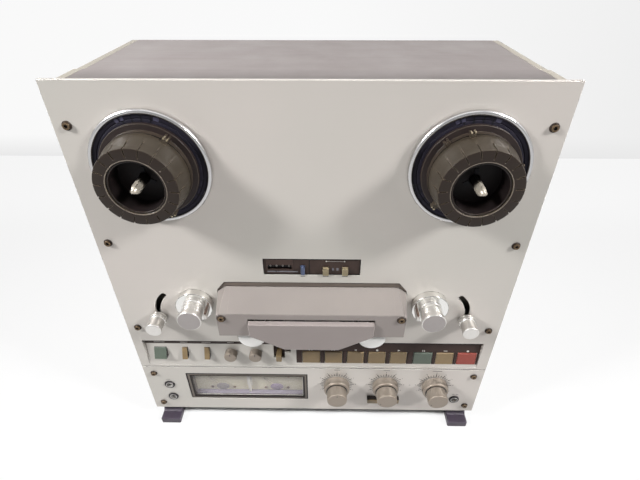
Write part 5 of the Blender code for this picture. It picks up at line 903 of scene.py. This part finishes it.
cap_plastic = mottled("white_cap_plastic", (248, 246, 243), 0.34, (242, 240, 236), (252, 251, 249),
                      scale=70, edge_wear_and_highlight=0.0006, grain=1200)
tyre = mottled("pinch_roller_rubber", (46, 42, 42), 0.6, (36, 33, 33), scale=90, grain=1600)
PINCH_TYRE_PROFILE = [(5.5, 3.9), (5.5, 10.5), (14.2, 10.5), (14.2, 20.4), (2.5, 20.4), (2.5, 3.9)]
PINCH_CAP_PROFILE = [(0, 20.3), (14.9, 20.3), (15.0, 20.5), (15.0, 22.2), (14.2, 22.9), (12.0, 23.0),
                     (0, 23.0)]
for side, word in SIDES:
    centre = (side * CAPSTAN_X, PINCH_UP)
    body = "pinch_roller_" + word
    roller = turned("pinch_tyre_" + word, centre, PINCH_TYRE_PROFILE, tyre, body, "roller_rubber", 96, 0.5,
                    True)
    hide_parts(body)
    turned("pinch_cap_" + word, centre, PINCH_CAP_PROFILE, cap_plastic, body, "key_tan", 96, 0.5)


# Head housing and flap
# The housing is moulded in grey plastic and painted a warm metallic grey, with square bosses for two
# brown screws. The flap hangs on two pins in it and hides the heads. Its face is bare.

housing_grey = mottled("warm_grey_metallic_paint", (144, 136, 131), 0.42, (138, 130, 125), (190, 183, 176),
                       metallic=0.2, scale=14, edge_wear_and_highlight=0.0005, grain=2200, depth=0.00003, spread=0.06)
flap_grey = mottled("flap_grey_metallic_paint", (143, 134, 131), 0.42, (137, 128, 125), (214, 206, 201),
                    metallic=0.2, scale=14, edge_wear_and_highlight=0.0008, grain=2200, depth=0.00003, spread=0.06)
# The housing's sloping top is painted a darker tone than its fronts as shade, and the edges of the housing
# and the flap are painted lighter as highlights.
top_shade_mask = housing_grey.between(housing_grey.along(2), 0.2292, 0.2304)
patches = housing_grey.between(housing_grey.cloud(14, 3), 0.3, 0.7)
fronts = housing_grey.blend(patches, tint(136, 128, 124), tint(141, 133, 129))
tops = housing_grey.blend(patches, tint(123, 116, 112), tint(130, 123, 118))
painted = housing_grey.blend(top_shade_mask, fronts, tops)
housing_grey.feed("Base Color", housing_grey.blend(housing_grey.edges(0.0006) * 0.6, painted,
                                                   tint(190, 183, 176)))
dress(housing_grey, "head_housing")
dress(flap_grey, "head_flap")
HOUSING_SCREW = (0.0037, 0.0020, 0.0050, 0.0011)
BOSS = (95, 200, 26.8)
screwed("housing_screws", [on_front(side * BOSS[0], *BOSS[1:]) for side in (-1, 1)], HOUSING_SCREW)
LIP = [(-102.4, 214.7), (-102.4, 216.2), (-93.3, 226.7), (93.3, 226.7), (102.4, 216.2), (102.4, 214.7),
       (93, 221.8), (-93, 221.8)]
lip_brown = mottled("brown_grey_lip", (104, 94, 87), 0.5, (96, 87, 80), specular=0.3, scale=60)
seam_dark = mottled("moulding_seam_dark", (132, 124, 119), 0.5, (124, 116, 112), scale=300)
SEAM_X = 88


def on_housing(x, share, over=0.0):
    """A point on the housing's sloping top, from its rear edge at 0 to its front edge at 1."""
    return on_front(x, 221.5 - 15.5 * share + over, -0.7 + 27.2 * share)


def strip_mesh(name, rows):
    """A skin over rows that are closed loops, with both ends filled."""
    solid = bmesh.new()
    solid.from_mesh(grid_mesh(name, rows, False, True))
    bmesh.ops.holes_fill(solid, edges=solid.edges[:])
    return meshed(solid, name)


for side, word in SIDES:
    rows = [[on_housing(side * SEAM_X + shift, share, over)
             for shift, over in ((-0.25, -0.1), (-0.25, 0.06), (0.25, 0.06), (0.25, -0.1))]
            for share in (0.03, 0.97)]
    name = "housing_seam_" + word
    settled(name, strip_mesh(name, rows), seam_dark, "case", "housing_plastic")


# Tape counter
# Four white-figured wheels turn behind a narrow window in a dark brown surround, with a blue-grey
# reset button beside them and two cream buttons that set where the tape stops or repeats.

counter_brown = mottled("dark_brown_surround", (66, 53, 48), 0.4, (58, 46, 42), (108, 92, 85), specular=0.2,
                        scale=60, edge_wear_and_highlight=0.0004, grain=1400)
dress(counter_brown, "counter_housing")
# Black for the counter's wheels and rim, also used for painted shade: the bore of each phone socket and the
# line between the panels.
black_and_painted_shade = mottled("counter_wheel_black", (22, 20, 22), 0.45, (16, 15, 16), specular=0.2, scale=200)
mark_white = mottled("white_print", (214, 210, 204), 0.5, (200, 196, 190), scale=400)
mark_dark = mottled("dark_print", (62, 56, 56), 0.5, (50, 45, 45), scale=400)
band_metal = mottled("counter_band_metal", (128, 126, 130), 0.3, (104, 102, 108), metallic=0.6, scale=200)
DRUM_X = -33
DRUM_UP = 249
DRUM_OUT = -8.0
WHEEL = 5.8


def figure_mesh(text, height):
    """The outline of one printed figure as flat faces, centred on the origin."""
    curve = bpy.data.curves.new("figure", "FONT")
    curve.body = text
    curve.size = height
    curve.align_x = "CENTER"
    curve.align_y = "CENTER"
    curve.resolution_u = 4
    carrier = bpy.data.objects.new("figure", curve)
    scene.collection.objects.link(carrier)
    seen_by = carrier.evaluated_get(bpy.context.evaluated_depsgraph_get())
    mesh = bpy.data.meshes.new_from_object(seen_by)
    bpy.data.objects.remove(carrier)
    return mesh


def printed(name, figures, finish, body, slot, lift=0.06):
    """Printed figures, each (text, height, place). place puts flat x, y and lift on the deck."""
    solid = bmesh.new()
    for text, height, place in figures:
        flat = bmesh.new()
        flat.from_mesh(figure_mesh(text, height))
        raised = bmesh.ops.extrude_face_region(flat, geom=flat.faces[:])
        tops = {item for item in raised["geom"] if isinstance(item, bmesh.types.BMVert)}
        for corner in flat.verts:
            corner.co = place(corner.co.x, corner.co.y, lift if corner in tops else 0.0)
        solid.from_mesh(meshed(flat, "joined"))
    return settled(name, meshed(solid, name), finish, body, slot)


wheel_profile = [(1.2, -14.5), (1.2, -12.5)]
wheel_xs = []
for number in range(4):
    left = -12.5 + number * (WHEEL + 0.6)
    wheel_xs.append(DRUM_X + left + WHEEL / 2)
    wheel_profile += [(WHEEL - 0.5, left), (WHEEL, left + 0.15), (WHEEL, left + WHEEL - 0.15),
                      (WHEEL - 0.5, left + WHEEL)]
wheel_profile += [(1.2, 12.5), (1.2, 14.5)]
rows = [[on_front(DRUM_X + along, DRUM_UP + radius * math.sin(angle), DRUM_OUT + radius * math.cos(angle))
         for radius, along in [(0, -14.5)] + wheel_profile + [(0, 14.5)]]
        for angle in angles(60)]
wheels = settled("counter_wheels", grid_mesh("counter_wheels", rows), black_and_painted_shade, "counter_drum",
                 "black_plastic", 30)
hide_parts("counter_drum")


def on_wheel(x, turn_by):
    def place(across, up, lift):
        angle = turn_by + up / WHEEL
        radius = WHEEL + lift
        return on_front(x + across, DRUM_UP + radius * math.sin(angle), DRUM_OUT + radius * math.cos(angle))
    return place


figures = [(str(figure), 3.6, on_wheel(x, math.radians(-4) - figure * math.tau / 10))
           for x in wheel_xs for figure in range(10)]
printed("counter_figures", figures, mark_white, "counter_drum", "key_tan")
MASK_OUTS = (-1.55, -0.95)
MASK_XS = (-46.8, -19.2)
WINDOW_XS = (-45.6, -20.4)
WINDOW_UPS = (245.0, 250.6)
for name, finish, slot, rounding, blocks in (
        ("counter_mask", counter_brown, "black_plastic", 0.1, [
            (MASK_XS, (WINDOW_UPS[1], 257.6), MASK_OUTS), (MASK_XS, (239.2, WINDOW_UPS[0]), MASK_OUTS),
            ((MASK_XS[0], WINDOW_XS[0]), (244.8, 250.8), MASK_OUTS),
            ((WINDOW_XS[1], MASK_XS[1]), (244.8, 250.8), MASK_OUTS)]),
        ("counter_band", band_metal, "black_plastic", 0.1, [((-46, -14), (241.4, 242.8), (-0.98, -0.7))]),
        ("counter_division", black_and_painted_shade, "black_plastic", 0, [
            ((-2.3, -1.7), (238.6, 258.6), (-1.6, -1.35))]),
        ("counter_rim", black_and_painted_shade, "black_plastic", 0.12, [
            ((-50.0, 51.0), (258.4, 259.2), (-1.6, -0.5)), ((-50.0, 51.0), (238.2, 238.5), (-1.6, -0.9)),
            ((-50.0, -49.4), (238.4, 259), (-1.6, -0.9)), ((50.4, 51.0), (238.4, 259), (-1.6, -0.9))]),
        ("counter_marks", mark_white, "key_tan", 0, [
            ((16.4, 33.6), (255.2, 255.35), (-1.6, -1.5)), ((14.9, 16.2), (254.7, 255.9), (-1.6, -1.48)),
            ((33.8, 35.1), (254.7, 255.9), (-1.6, -1.48))]),
        ("counter_prints", band_metal, "black_plastic", 0, [
            ((21.6, 23.6), (243.4, 246.6), (-1.6, -1.5)), ((26.2, 28.4), (243.4, 246.6), (-1.6, -1.5))])):
    boxes(name, blocks, finish, "case", slot, rounding)
button_cream = mottled("cream_button", (134, 122, 97), 0.42, (124, 112, 88), (176, 165, 140), scale=300,
                       edge_wear_and_highlight=0.0005)
reset_blue = mottled("blue_grey_button", (74, 84, 112), 0.4, (66, 76, 102), (112, 124, 148), scale=300,
                     edge_wear_and_highlight=0.0005)
dress(button_cream, "memory_button", "repeat_button")
dress(reset_blue, "counter_reset_button")


# Control strip
# A tilted strip of the same silver lies in the lower part of the deck panel. Its upper edge is a
# dark printed band, and the eight keys stand in a dark recess with small transport symbols.

STRIP_BOTTOM = 90.8
STRIP_TOP = 134.2


def on_strip(up):
    return -0.2 - 4.8 * (up - STRIP_BOTTOM) / (STRIP_TOP - STRIP_BOTTOM)


band_dark_and_edge_shade = mottled("dark_printed_band", (86, 77, 73), 0.5, (77, 69, 66), specular=0.2, scale=60, grain=1400)
recess_dark_and_slot_shade = mottled("key_recess_brown", (62, 48, 44), 0.5, (54, 42, 38), specular=0.2, scale=60, grain=1400)
BAND_OUTS = (-0.1, 0.12)
STRIP_BAND_BLOCKS = [((-204.3, -20.2), (125.4, 134.0), BAND_OUTS)]
boxes("strip_band", STRIP_BAND_BLOCKS, band_dark_and_edge_shade, "case", "front_panel", 0.05, on_strip)
# A dark line along the strip's left edge is painted shade on the recess's side wall.
STRIP_EDGE_SHADE_BLOCKS = [((-203.6, -203.1), (103, 125.6), (-0.1, 0.1))]
boxes("strip_edge_shade", STRIP_EDGE_SHADE_BLOCKS, band_dark_and_edge_shade, "case", "front_panel", 0, on_strip)
KEYS = (("key_rewind", -12.7, 9), ("key_fast_forward", 15, 36), ("key_reverse", 42, 62.5),
        ("key_stop", 68, 89), ("key_play", 95, 115), ("key_pause", 123.5, 146), ("key_mute", 151, 172),
        ("key_record", 177, 200))
KEY_UPS = (96.0, 115.3)
RECESS_XS = (-20.2, 203.1)
recess = [(RECESS_XS, (KEY_UPS[1], 134.0), BAND_OUTS)]
left = RECESS_XS[0]
for _, low, high in KEYS:
    recess.append(((left, low - 0.5), KEY_UPS, BAND_OUTS))
    left = high + 0.5
recess.append(((left, RECESS_XS[1]), KEY_UPS, BAND_OUTS))
boxes("key_recess", recess, recess_dark_and_slot_shade, "case", "front_panel", 0, on_strip)
ribs = []
for (_, _, low), (_, high, _) in zip(KEYS, KEYS[1:]):
    ribs.append(((low + 1.3, high - 1.3), (96.4, 114.6), (0, 0.7)))
boxes("key_ribs", ribs, recess_dark_and_slot_shade, "case", "front_panel", 0.4, on_strip)

for name, colour, darker, lighter, pieces in (
        ("tan_key", (129, 110, 80), (119, 100, 72), (174, 156, 120), (
            "key_rewind", "key_fast_forward", "key_reverse", "key_stop", "key_play", "key_mute",
            "speed_button", "reel_size_button", "cue_lever", "monitor_source_button",
            "monitor_tape_button")),
        ("green_key", (86, 95, 85), (78, 87, 77), (124, 134, 122), ("key_pause", "power_button")),
        ("red_key", (140, 62, 50), (128, 55, 44), (188, 108, 92), ("key_record",))):
    dress(mottled(name, colour, 0.42, darker, lighter, scale=70, edge_wear_and_highlight=0.0008, grain=1300, depth=0.00004),
          *pieces)

button_gap_shade = mottled("black_button_sleeve", (42, 37, 35), 0.4, (26, 24, 23), specular=0.2, scale=300)


def sleeved(name, xs, ups, outs, lean=None):
    """Thin black plates round a button, short of its coloured face: painted shade in the gap round it
    and on its shaded sides. lean gives a slanted face's out.
    """
    plates = [(xs, (ups[1] - 0.02, ups[1] + 0.12), outs), (xs, (ups[0] - 0.12, ups[0] + 0.02), outs),
              ((xs[0] - 0.12, xs[0] + 0.02), ups, outs), ((xs[1] - 0.02, xs[1] + 0.12), ups, outs)]
    boxes(name + "_sleeve", plates, button_gap_shade, name, "black_plastic", 0, lean)


SWITCH_UPS = (105.4, 119.5)
SWITCHES = (("power_button", -186.5, 15), ("speed_button", -156.5, 6.4), ("reel_size_button", -129.3, 6.4))
MONITORS = (("monitor_source_button", 79.7), ("monitor_tape_button", 104.5))
MONITOR_HALF = 8.25
MONITOR_UPS = (24.0, 31.0)


def on_switch(up):
    return 4.2 - 6.6 * (up - SWITCH_UPS[0]) / (SWITCH_UPS[1] - SWITCH_UPS[0])


for name, x, width in SWITCHES:
    sleeved(name, (x - width / 2, x + width / 2), SWITCH_UPS, (-7, -0.7), on_switch)
for name, x in MONITORS:
    sleeved(name, (x - MONITOR_HALF, x + MONITOR_HALF), MONITOR_UPS, (-0.2, 6.2))


def prisms(name, outlines, outs, finish, body, slot, lean=None):
    """Flat shapes with a little thickness, each outline a loop of (x, up)."""
    solid = bmesh.new()
    for outline in outlines:
        low, high = ([solid.verts.new(on_front(x, up, out + (lean(up) if lean else 0))) for x, up in outline]
                     for out in outs)
        solid.faces.new(low[::-1])
        solid.faces.new(high)
        for index in range(len(outline)):
            after = (index + 1) % len(outline)
            solid.faces.new((low[index], low[after], high[after], high[index]))
    return settled(name, meshed(solid, name), finish, body, slot)


def pointer(x, up, size, way):
    return [(x - way * size / 2, up - size / 2), (x + way * size / 2, up),
            (x - way * size / 2, up + size / 2)]


def patch(x, up, width, height):
    return [(x - width / 2, up - height / 2), (x + width / 2, up - height / 2),
            (x + width / 2, up + height / 2), (x - width / 2, up + height / 2)]


def disc(x, up, radius, steps=20):
    return [polar((x, up), radius, angle) for angle in angles(steps)]


SYMBOL_UP = 117.6
SYMBOL_OUTS = (0.1, 0.18)
symbols = [pointer(-4.6, SYMBOL_UP, 2.6, -1), pointer(-1.8, SYMBOL_UP, 2.6, -1),
           pointer(24.2, SYMBOL_UP, 2.6, 1), pointer(27.0, SYMBOL_UP, 2.6, 1),
           pointer(52.2, SYMBOL_UP, 2.8, -1), patch(78.5, SYMBOL_UP, 2.5, 2.5),
           pointer(105, SYMBOL_UP, 2.8, 1), patch(133.9, SYMBOL_UP, 0.9, 2.7),
           patch(135.9, SYMBOL_UP, 0.9, 2.7), patch(161.5, SYMBOL_UP, 4.6, 0.8),
           disc(188.5, SYMBOL_UP, 1.4)]
prisms("key_symbols", symbols, SYMBOL_OUTS, mark_white, "case", "key_tan", on_strip)
dashes = [patch(x, 127.6, width, 0.8) for x, width in ((-186.5, 13), (-156.5, 9), (-129.3, 11), (-99.5, 8),
                                                       (-69.5, 9), (-41, 5))]
prisms("strip_dashes", dashes, SYMBOL_OUTS, mark_white, "case", "key_tan", on_strip)

# A dark sheet painted as shade inside the lever's slot, the lip above the head housing and the
# painted shadow line between the panels
LEVER_SLOT_SHADE_BLOCKS = [((-49.4, -44.7), (103.4, 126.8), (-3.6, -3.2)),
                            ((-37.3, -26.4), (103.4, 126.8), (-3.6, -3.2))]
boxes("lever_slot_shade", LEVER_SLOT_SHADE_BLOCKS, recess_dark_and_slot_shade, "case", "housing_plastic", 0.05, on_strip)
prisms("housing_lip", [LIP], (-1.3, -0.9), lip_brown, "case", "housing_plastic")
PANEL_SPLIT_SHADOW_BLOCKS = [((-215.5, 215.5), (86.14, 86.86), (-1.6, -0.35))]
boxes("panel_split_shadow", PANEL_SPLIT_SHADOW_BLOCKS, black_and_painted_shade, "case", "black_plastic", 0)


# Small knobs
# Two round caps in warm silver push onto shafts: pitch, and the timer's mode. Fine ribs run round
# the side and a dark line marks the front.

knob_silver = lathed(Finish("warm_silver_knob", (145, 134, 122), 0.38, 0.35), (133, 122, 111), 0.1, 260)
# The ribs on the knobs' sides take a lighter copy of the knob silver, as painted light.
knob_ribs_painted_light = mottled("knob_side_silver", (147, 139, 129), 0.42, (138, 130, 121), metallic=0.3, scale=200)
SMALL_KNOB_UP = 112.9


def ribbed(name, spot, body, count, **sizes):
    """Fine ribs all the way round a knob, in a lighter copy of its silver as painted light on the side."""
    grown(name, ring_of_bars, [spot], knob_ribs_painted_light, body, "knob_metal", Count=count, Start=0.0,
          Sweep=math.tau * (count - 1) / count, **sizes)


CAP_PROFILE = [(0, 7.8), (6.5, 7.8), (7.3, 7.2), (7.5, 6.2), (7.5, -1.2), (3, -1.2), (3, -10), (0, -10)]
SMALL_KNOBS = (("pitch_knob", -99.5), ("timer_knob", -69.5))
for name, x in SMALL_KNOBS:
    cap = turned(name + "_cap", (x, SMALL_KNOB_UP), CAP_PROFILE, knob_silver, name, "knob_metal", 64, 0.3)
    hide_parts(name)
    ribbed(name + "_ribs", on_front(x, SMALL_KNOB_UP), name, 48, Radius=0.00735, Length=0.00022,
           Width=0.00036, Thickness=0.0058)
    prisms(name + "_index", [patch(x, SMALL_KNOB_UP + 4.7, 0.7, 3.4)], (7.75, 7.84), mark_dark, name,
           "knob_metal")


# Level meters
# Two moving-coil meters share one dark window: cream dials with printed scales, black pointers,
# violet pivot covers with a screw on each side, a pale strip between them, and a clear acrylic lens.

meter_frame = mottled("meter_frame_brown", (104, 95, 86), 0.42, (93, 84, 76), (128, 118, 107), scale=60,
                      edge_wear_and_highlight=0.0005, grain=1400)
dress(meter_frame, "meter_housing")
dial_cream = mottled("cream_dial", (212, 205, 180), 0.6, (203, 196, 172), scale=40)
pointer_grey = mottled("warm_grey_pointer", (176, 168, 150), 0.6, (166, 158, 141), scale=400)
scale_print = mottled("pale_scale_print", (150, 142, 130), 0.5, (138, 130, 120), scale=400)
pale_strip_and_highlight = mottled("pale_meter_strip", (214, 210, 202), 0.5, (204, 200, 192), scale=60)
lavender = mottled("lavender_meter_floor", (136, 129, 142), 0.5, (126, 120, 133), scale=60)
violet = mottled("violet_pivot_cover", (126, 112, 130), 0.4, (116, 103, 120), scale=200)
cover_grey = mottled("grey_pivot_cover", (124, 118, 116), 0.4, (114, 109, 107), scale=200)
pointer_black = mottled("pointer_black", (30, 27, 27), 0.5, (22, 20, 20), scale=400)
dress(pointer_grey, "meter_needle_left", "meter_needle_right")
frame_black = mottled("meter_frame_black", (38, 31, 30), 0.4, (31, 27, 26), specular=0.2, scale=100)
red_print = mottled("red_print", (186, 120, 108), 0.5, (174, 110, 98), scale=400)
DIAL_OUT = -11.3
DIAL_UPS = (26.2, 67.8)
BORDER_OUTS = (-1.1, -0.85)
INNER_OUTS = (-4.4, -1.0)
for name, finish, slot, rounding, blocks in (
        ("dial_left", dial_cream, "key_tan", 0, [((-157.3, -86.4), DIAL_UPS, (-11.55, DIAL_OUT))]),
        ("dial_right", dial_cream, "key_tan", 0, [((-84.1, -13.2), DIAL_UPS, (-11.55, DIAL_OUT))]),
        ("dial_divider", pale_strip_and_highlight, "key_tan", 0.1, [
            ((-86.7, -83.8), DIAL_UPS, (-11.5, -7.2)), ((-88.6, -82.0), (36, 67.8), (-11.4, -11.0))]),
        ("meter_floor", lavender, "key_tan", 0.05, [((-157.3, -13.2), (26.05, 26.35), (-11.2, -4.9))]),
        ("meter_border", frame_black, "black_plastic", 0, [
            ((-163.4, -7.1), (71.0, 73.9), BORDER_OUTS), ((-163.4, -7.1), (21.6, 22.2), BORDER_OUTS),
            ((-163.4, -161.9), (21.6, 73.9), BORDER_OUTS), ((-8.7, -7.1), (21.6, 73.9), BORDER_OUTS),
            ((-158.9, -11.6), (23.7, 26.3), BORDER_OUTS), ((-13.3, -10.9), (24.2, 68), BORDER_OUTS),
            ((-159.2, -157.2), (24.2, 69.0), BORDER_OUTS), ((-159.2, -10.9), (67.9, 69.0), BORDER_OUTS),
            ((-157.4, -13.1), (26.0, 26.2), INNER_OUTS), ((-13.25, -13.05), (26, 68), INNER_OUTS),
            ((-157.45, -157.25), (26, 68), INNER_OUTS)]),
        # Pale strips along the lens's lower and right edges are painted highlights.
        ("lens_edge", pale_strip_and_highlight, "clear_lens", 0.1, [
            ((-157.1, -13.3), (26.25, 26.75), (-3.0, -2.6)), ((-13.9, -13.3), (26.3, 67.8), (-3.0, -2.6))])):
    boxes(name, blocks, finish, "case", slot, rounding)


def arc_band(name, centre, radii, start, end, outs, finish, body, slot, steps=40):
    """A printed arc: a thin band between two radii."""
    rows = []
    for step in range(steps + 1):
        angle = math.radians(start + (end - start) * step / steps)
        rows.append([on_front(*polar(centre, radius, angle), out)
                     for radius, out in ((radii[0], outs[0]), (radii[0], outs[1]), (radii[1], outs[1]),
                                         (radii[1], outs[0]))])
    return settled(name, strip_mesh(name, rows), finish, body, slot)


def on_dial(centre, radius, degrees):
    angle = math.radians(degrees)

    def place(across, up, lift):
        x = centre[0] + (radius + up) * math.cos(angle) + across * math.sin(angle)
        height = centre[1] + (radius + up) * math.sin(angle) - across * math.cos(angle)
        return on_front(x, height, DIAL_OUT + lift)
    return place


DIAL_FIGURES = (("20", 132), ("10", 121), ("7", 110), ("5", 100), ("3", 89), ("1", 77), ("0", 68), ("3", 50))
PRINT_OUTS = (-11.32, -11.24)
DIALS = (((-121.375, 34), "left"), ((-49.125, 34), "right"))
for centre, word in DIALS:
    arc_band("scale_arc_" + word, centre, (24.6, 25.0), 132, 68, PRINT_OUTS, scale_print, "case", "key_tan")
    arc_band("scale_over_" + word, centre, (24.4, 25.4), 68, 46, PRINT_OUTS, red_print, "case", "key_tan", 20)
    grown("scale_ticks_" + word, ring_of_bars, [on_front(*centre, DIAL_OUT)], scale_print, "case",
          "key_tan", Count=17, Start=math.radians(50), Sweep=math.radians(82), Radius=0.0250, Length=0.0016,
          Width=0.00026, Thickness=0.0001)
    printed("scale_figures_" + word, [(text, 3.0, on_dial(centre, 28.6, angle))
                                      for text, angle in DIAL_FIGURES], scale_print, "case", "key_tan")
    cover = [(0, -7.3), (4.5, -7.5), (7.6, -8.2), (8.6, -9.0), (8.2, -9.1), (0, -8.2)]
    rows = [[on_front(centre[0] + radius * math.cos(angle), centre[1] + 2 + radius * 0.8 * math.sin(angle),
                      out) for radius, out in cover] for angle in angles(48)]
    settled("pivot_cover_" + word, grid_mesh("pivot_cover_" + word, rows),
            cover_grey if word == "left" else violet, "case", "key_blue", 50)
    grown("dial_screws_" + word, hex_screw, [on_front(centre[0] + shift, 32, -10.9) for shift in (-15, 15)],
          screw_brown, "case", "plated_steel", Head=0.0021, Height=0.0009, Socket=0.0009, Depth=0.0005)
lens = Finish("clear_acrylic_lens", (206, 202, 206), 0.06)
lens.shader.inputs["Alpha"].default_value = 0.14
lens.feed("Roughness", 0.04 + lens.cloud(50, 2) * 0.05)
dress(lens, "meter_lens")


# Level knobs
# Three double controls in the same warm silver: a wide ring at the back and a long round knob in
# front, with a black ring painted as shade in the gap between them, an index mark on each, and a
# printed scale on the panel.

LEVEL_UP = 55
LEVEL_KNOBS = (("output", 30.5), ("line", 93.0), ("mic", 156.5))
SCALE_RADIUS = 24.2


def beside_knob(x, degrees):
    """Where a figure of a knob's printed scale stands."""
    centre = polar((x, LEVEL_UP), SCALE_RADIUS, math.radians(degrees))

    def place(across, up, lift):
        return on_front(centre[0] + across, centre[1] + up, lift)
    return place


tick_black = mottled("black_tick_print", (30, 27, 27), 0.5, (22, 20, 20), scale=400)
RING_FINE_PROFILE = [(3.3, 11.3), (14.6, 11.3), (15.6, 11.0), (15.95, 10.2), (16.45, 1.2), (16.1, 0.8),
                     (4.7, 0.8), (4.7, -6), (3.3, -6)]
KNOB_FINE_PROFILE = [(0, 25.7), (11.2, 25.7), (12.2, 25.3), (12.5, 24.4), (12.5, 12.5), (12.2, 12.4),
                     (12.2, 11.6), (3, 11.6), (3, -9), (0, -9)]
GAP_SHADE_PROFILE = [(11.4, 11.25), (13.4, 11.25), (13.4, 11.45), (11.4, 11.45)]
for name, x in LEVEL_KNOBS:
    centre = (x, LEVEL_UP)
    ring = turned(name + "_ring_fine", centre, RING_FINE_PROFILE, knob_silver, name + "_ring", "knob_metal",
                  128, 0.3, True)
    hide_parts(name + "_ring")
    ribbed(name + "_ring_ribs", on_front(x, LEVEL_UP, 1.6), name + "_ring", 90, Radius=0.0160, Length=0.00045,
           Width=0.0004, Thickness=0.0072)
    knob = turned(name + "_knob_fine", centre, KNOB_FINE_PROFILE, knob_silver, name + "_knob", "knob_metal",
                  128, 0.3)
    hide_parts(name + "_knob")
    ribbed(name + "_knob_ribs", on_front(x, LEVEL_UP, 13.2), name + "_knob", 72, Radius=0.01236,
           Length=0.00026, Width=0.0004, Thickness=0.0100)
    turned(name + "_gap_line", centre, GAP_SHADE_PROFILE, pointer_black, name + "_ring", "black_plastic", 96,
           0.05, True)
    mark = polar(centre, 9.4, math.radians(90 if name == "output" else 215))
    prisms(name + "_knob_index", [disc(*mark, 0.8)], (25.6, 25.78), mark_dark, name + "_knob", "knob_metal")
    prisms(name + "_ring_index", [disc(x - 8.6, LEVEL_UP + 11.4, 0.75)], (11.2, 11.4), mark_dark,
           name + "_ring", "knob_metal")
    spot = [on_front(x, LEVEL_UP, 0)]
    grown(name + "_scale", ring_of_bars, spot, tick_black, "case", "front_panel", Count=11,
          Start=math.radians(-60), Sweep=math.radians(300), Radius=0.0168, Length=0.0054, Width=0.0009,
          Thickness=0.00008)
    grown(name + "_fine_scale", ring_of_bars, spot, tick_black, "case", "front_panel", Count=31,
          Start=math.radians(-60), Sweep=math.radians(300), Radius=0.0168, Length=0.0034, Width=0.00065,
          Thickness=0.00008)
    scale = [(str(figure), 2.6, beside_knob(x, 240 - figure * 30)) for figure in range(1, 10)]
    printed(name + "_scale_figures", scale, mark_dark, "case", "front_panel")
LABEL_OUTS = (-0.02, 0.06)
OVER_KNOBS = 83.2
prisms("level_dashes", [patch(30.5, OVER_KNOBS, 7, 0.8), patch(93, OVER_KNOBS, 8, 0.8),
                        patch(156.5, OVER_KNOBS, 12, 0.8), patch(125, 55, 1.6, 0.4),
                        patch(125, 53.4, 1.6, 0.4)], LABEL_OUTS, mark_dark, "case", "front_panel")


# Phone sockets
# Three quarter-inch sockets with a dark ring nut and a bright contact sleeve, two for phones at the
# left and one for a microphone at the right.

nut_dark = mottled("dark_socket_nut", (34, 29, 32), 0.4, (26, 22, 25), (84, 76, 76), metallic=0.1,
                   specular=0.3, scale=200, edge_wear_and_highlight=0.0003)
PHONE_SOCKETS = ((-187.5, 51), (-187.5, 26), (187, 26))
SOCKET_NUT_PROFILE = [(4.4, 0.05), (6.62, 0.05), (6.62, 1.0), (6.2, 1.45), (4.6, 1.45), (4.4, 1.3)]
SOCKET_SLEEVE_PROFILE = [(3.85, 0.5), (4.45, 0.5), (4.45, 1.7), (4.3, 1.9), (4.0, 1.9), (3.85, 1.7)]
SOCKET_BORE_SHADE_PROFILE = [(0, -19.9), (3.14, -19.9), (3.14, 1.25), (3.86, 1.32)]
for number, spot in enumerate(PHONE_SOCKETS):
    turned(f"socket_nut_{number}", spot, SOCKET_NUT_PROFILE, nut_dark, "case", "black_plastic", 64, 0.2, True)
    turned(f"socket_sleeve_{number}", spot, SOCKET_SLEEVE_PROFILE, bright, "case", "polished_metal", 64,
           0.2, True)
    # A dark tube inside each socket's bore is painted shade.
    turned(f"socket_bore_shade_{number}", spot, SOCKET_BORE_SHADE_PROFILE, black_and_painted_shade, "case", "black_plastic", 40,
           0.1)
prisms("socket_marks", [patch(-189.4, 60.6, 1.6, 0.6), patch(-186.6, 60.6, 2.2, 0.6),
                        patch(184.6, 36.2, 3.4, 0.7), patch(189.4, 36.2, 3.4, 0.7)], LABEL_OUTS, mark_dark,
       "case", "front_panel")
prisms("counter_labels", [patch(-9, 236.6, 5, 0.8), patch(15, 236.6, 6, 0.8), patch(35.2, 236.6, 6, 0.8)],
       (-0.02, 0.05), mark_dark, "case", "front_panel")
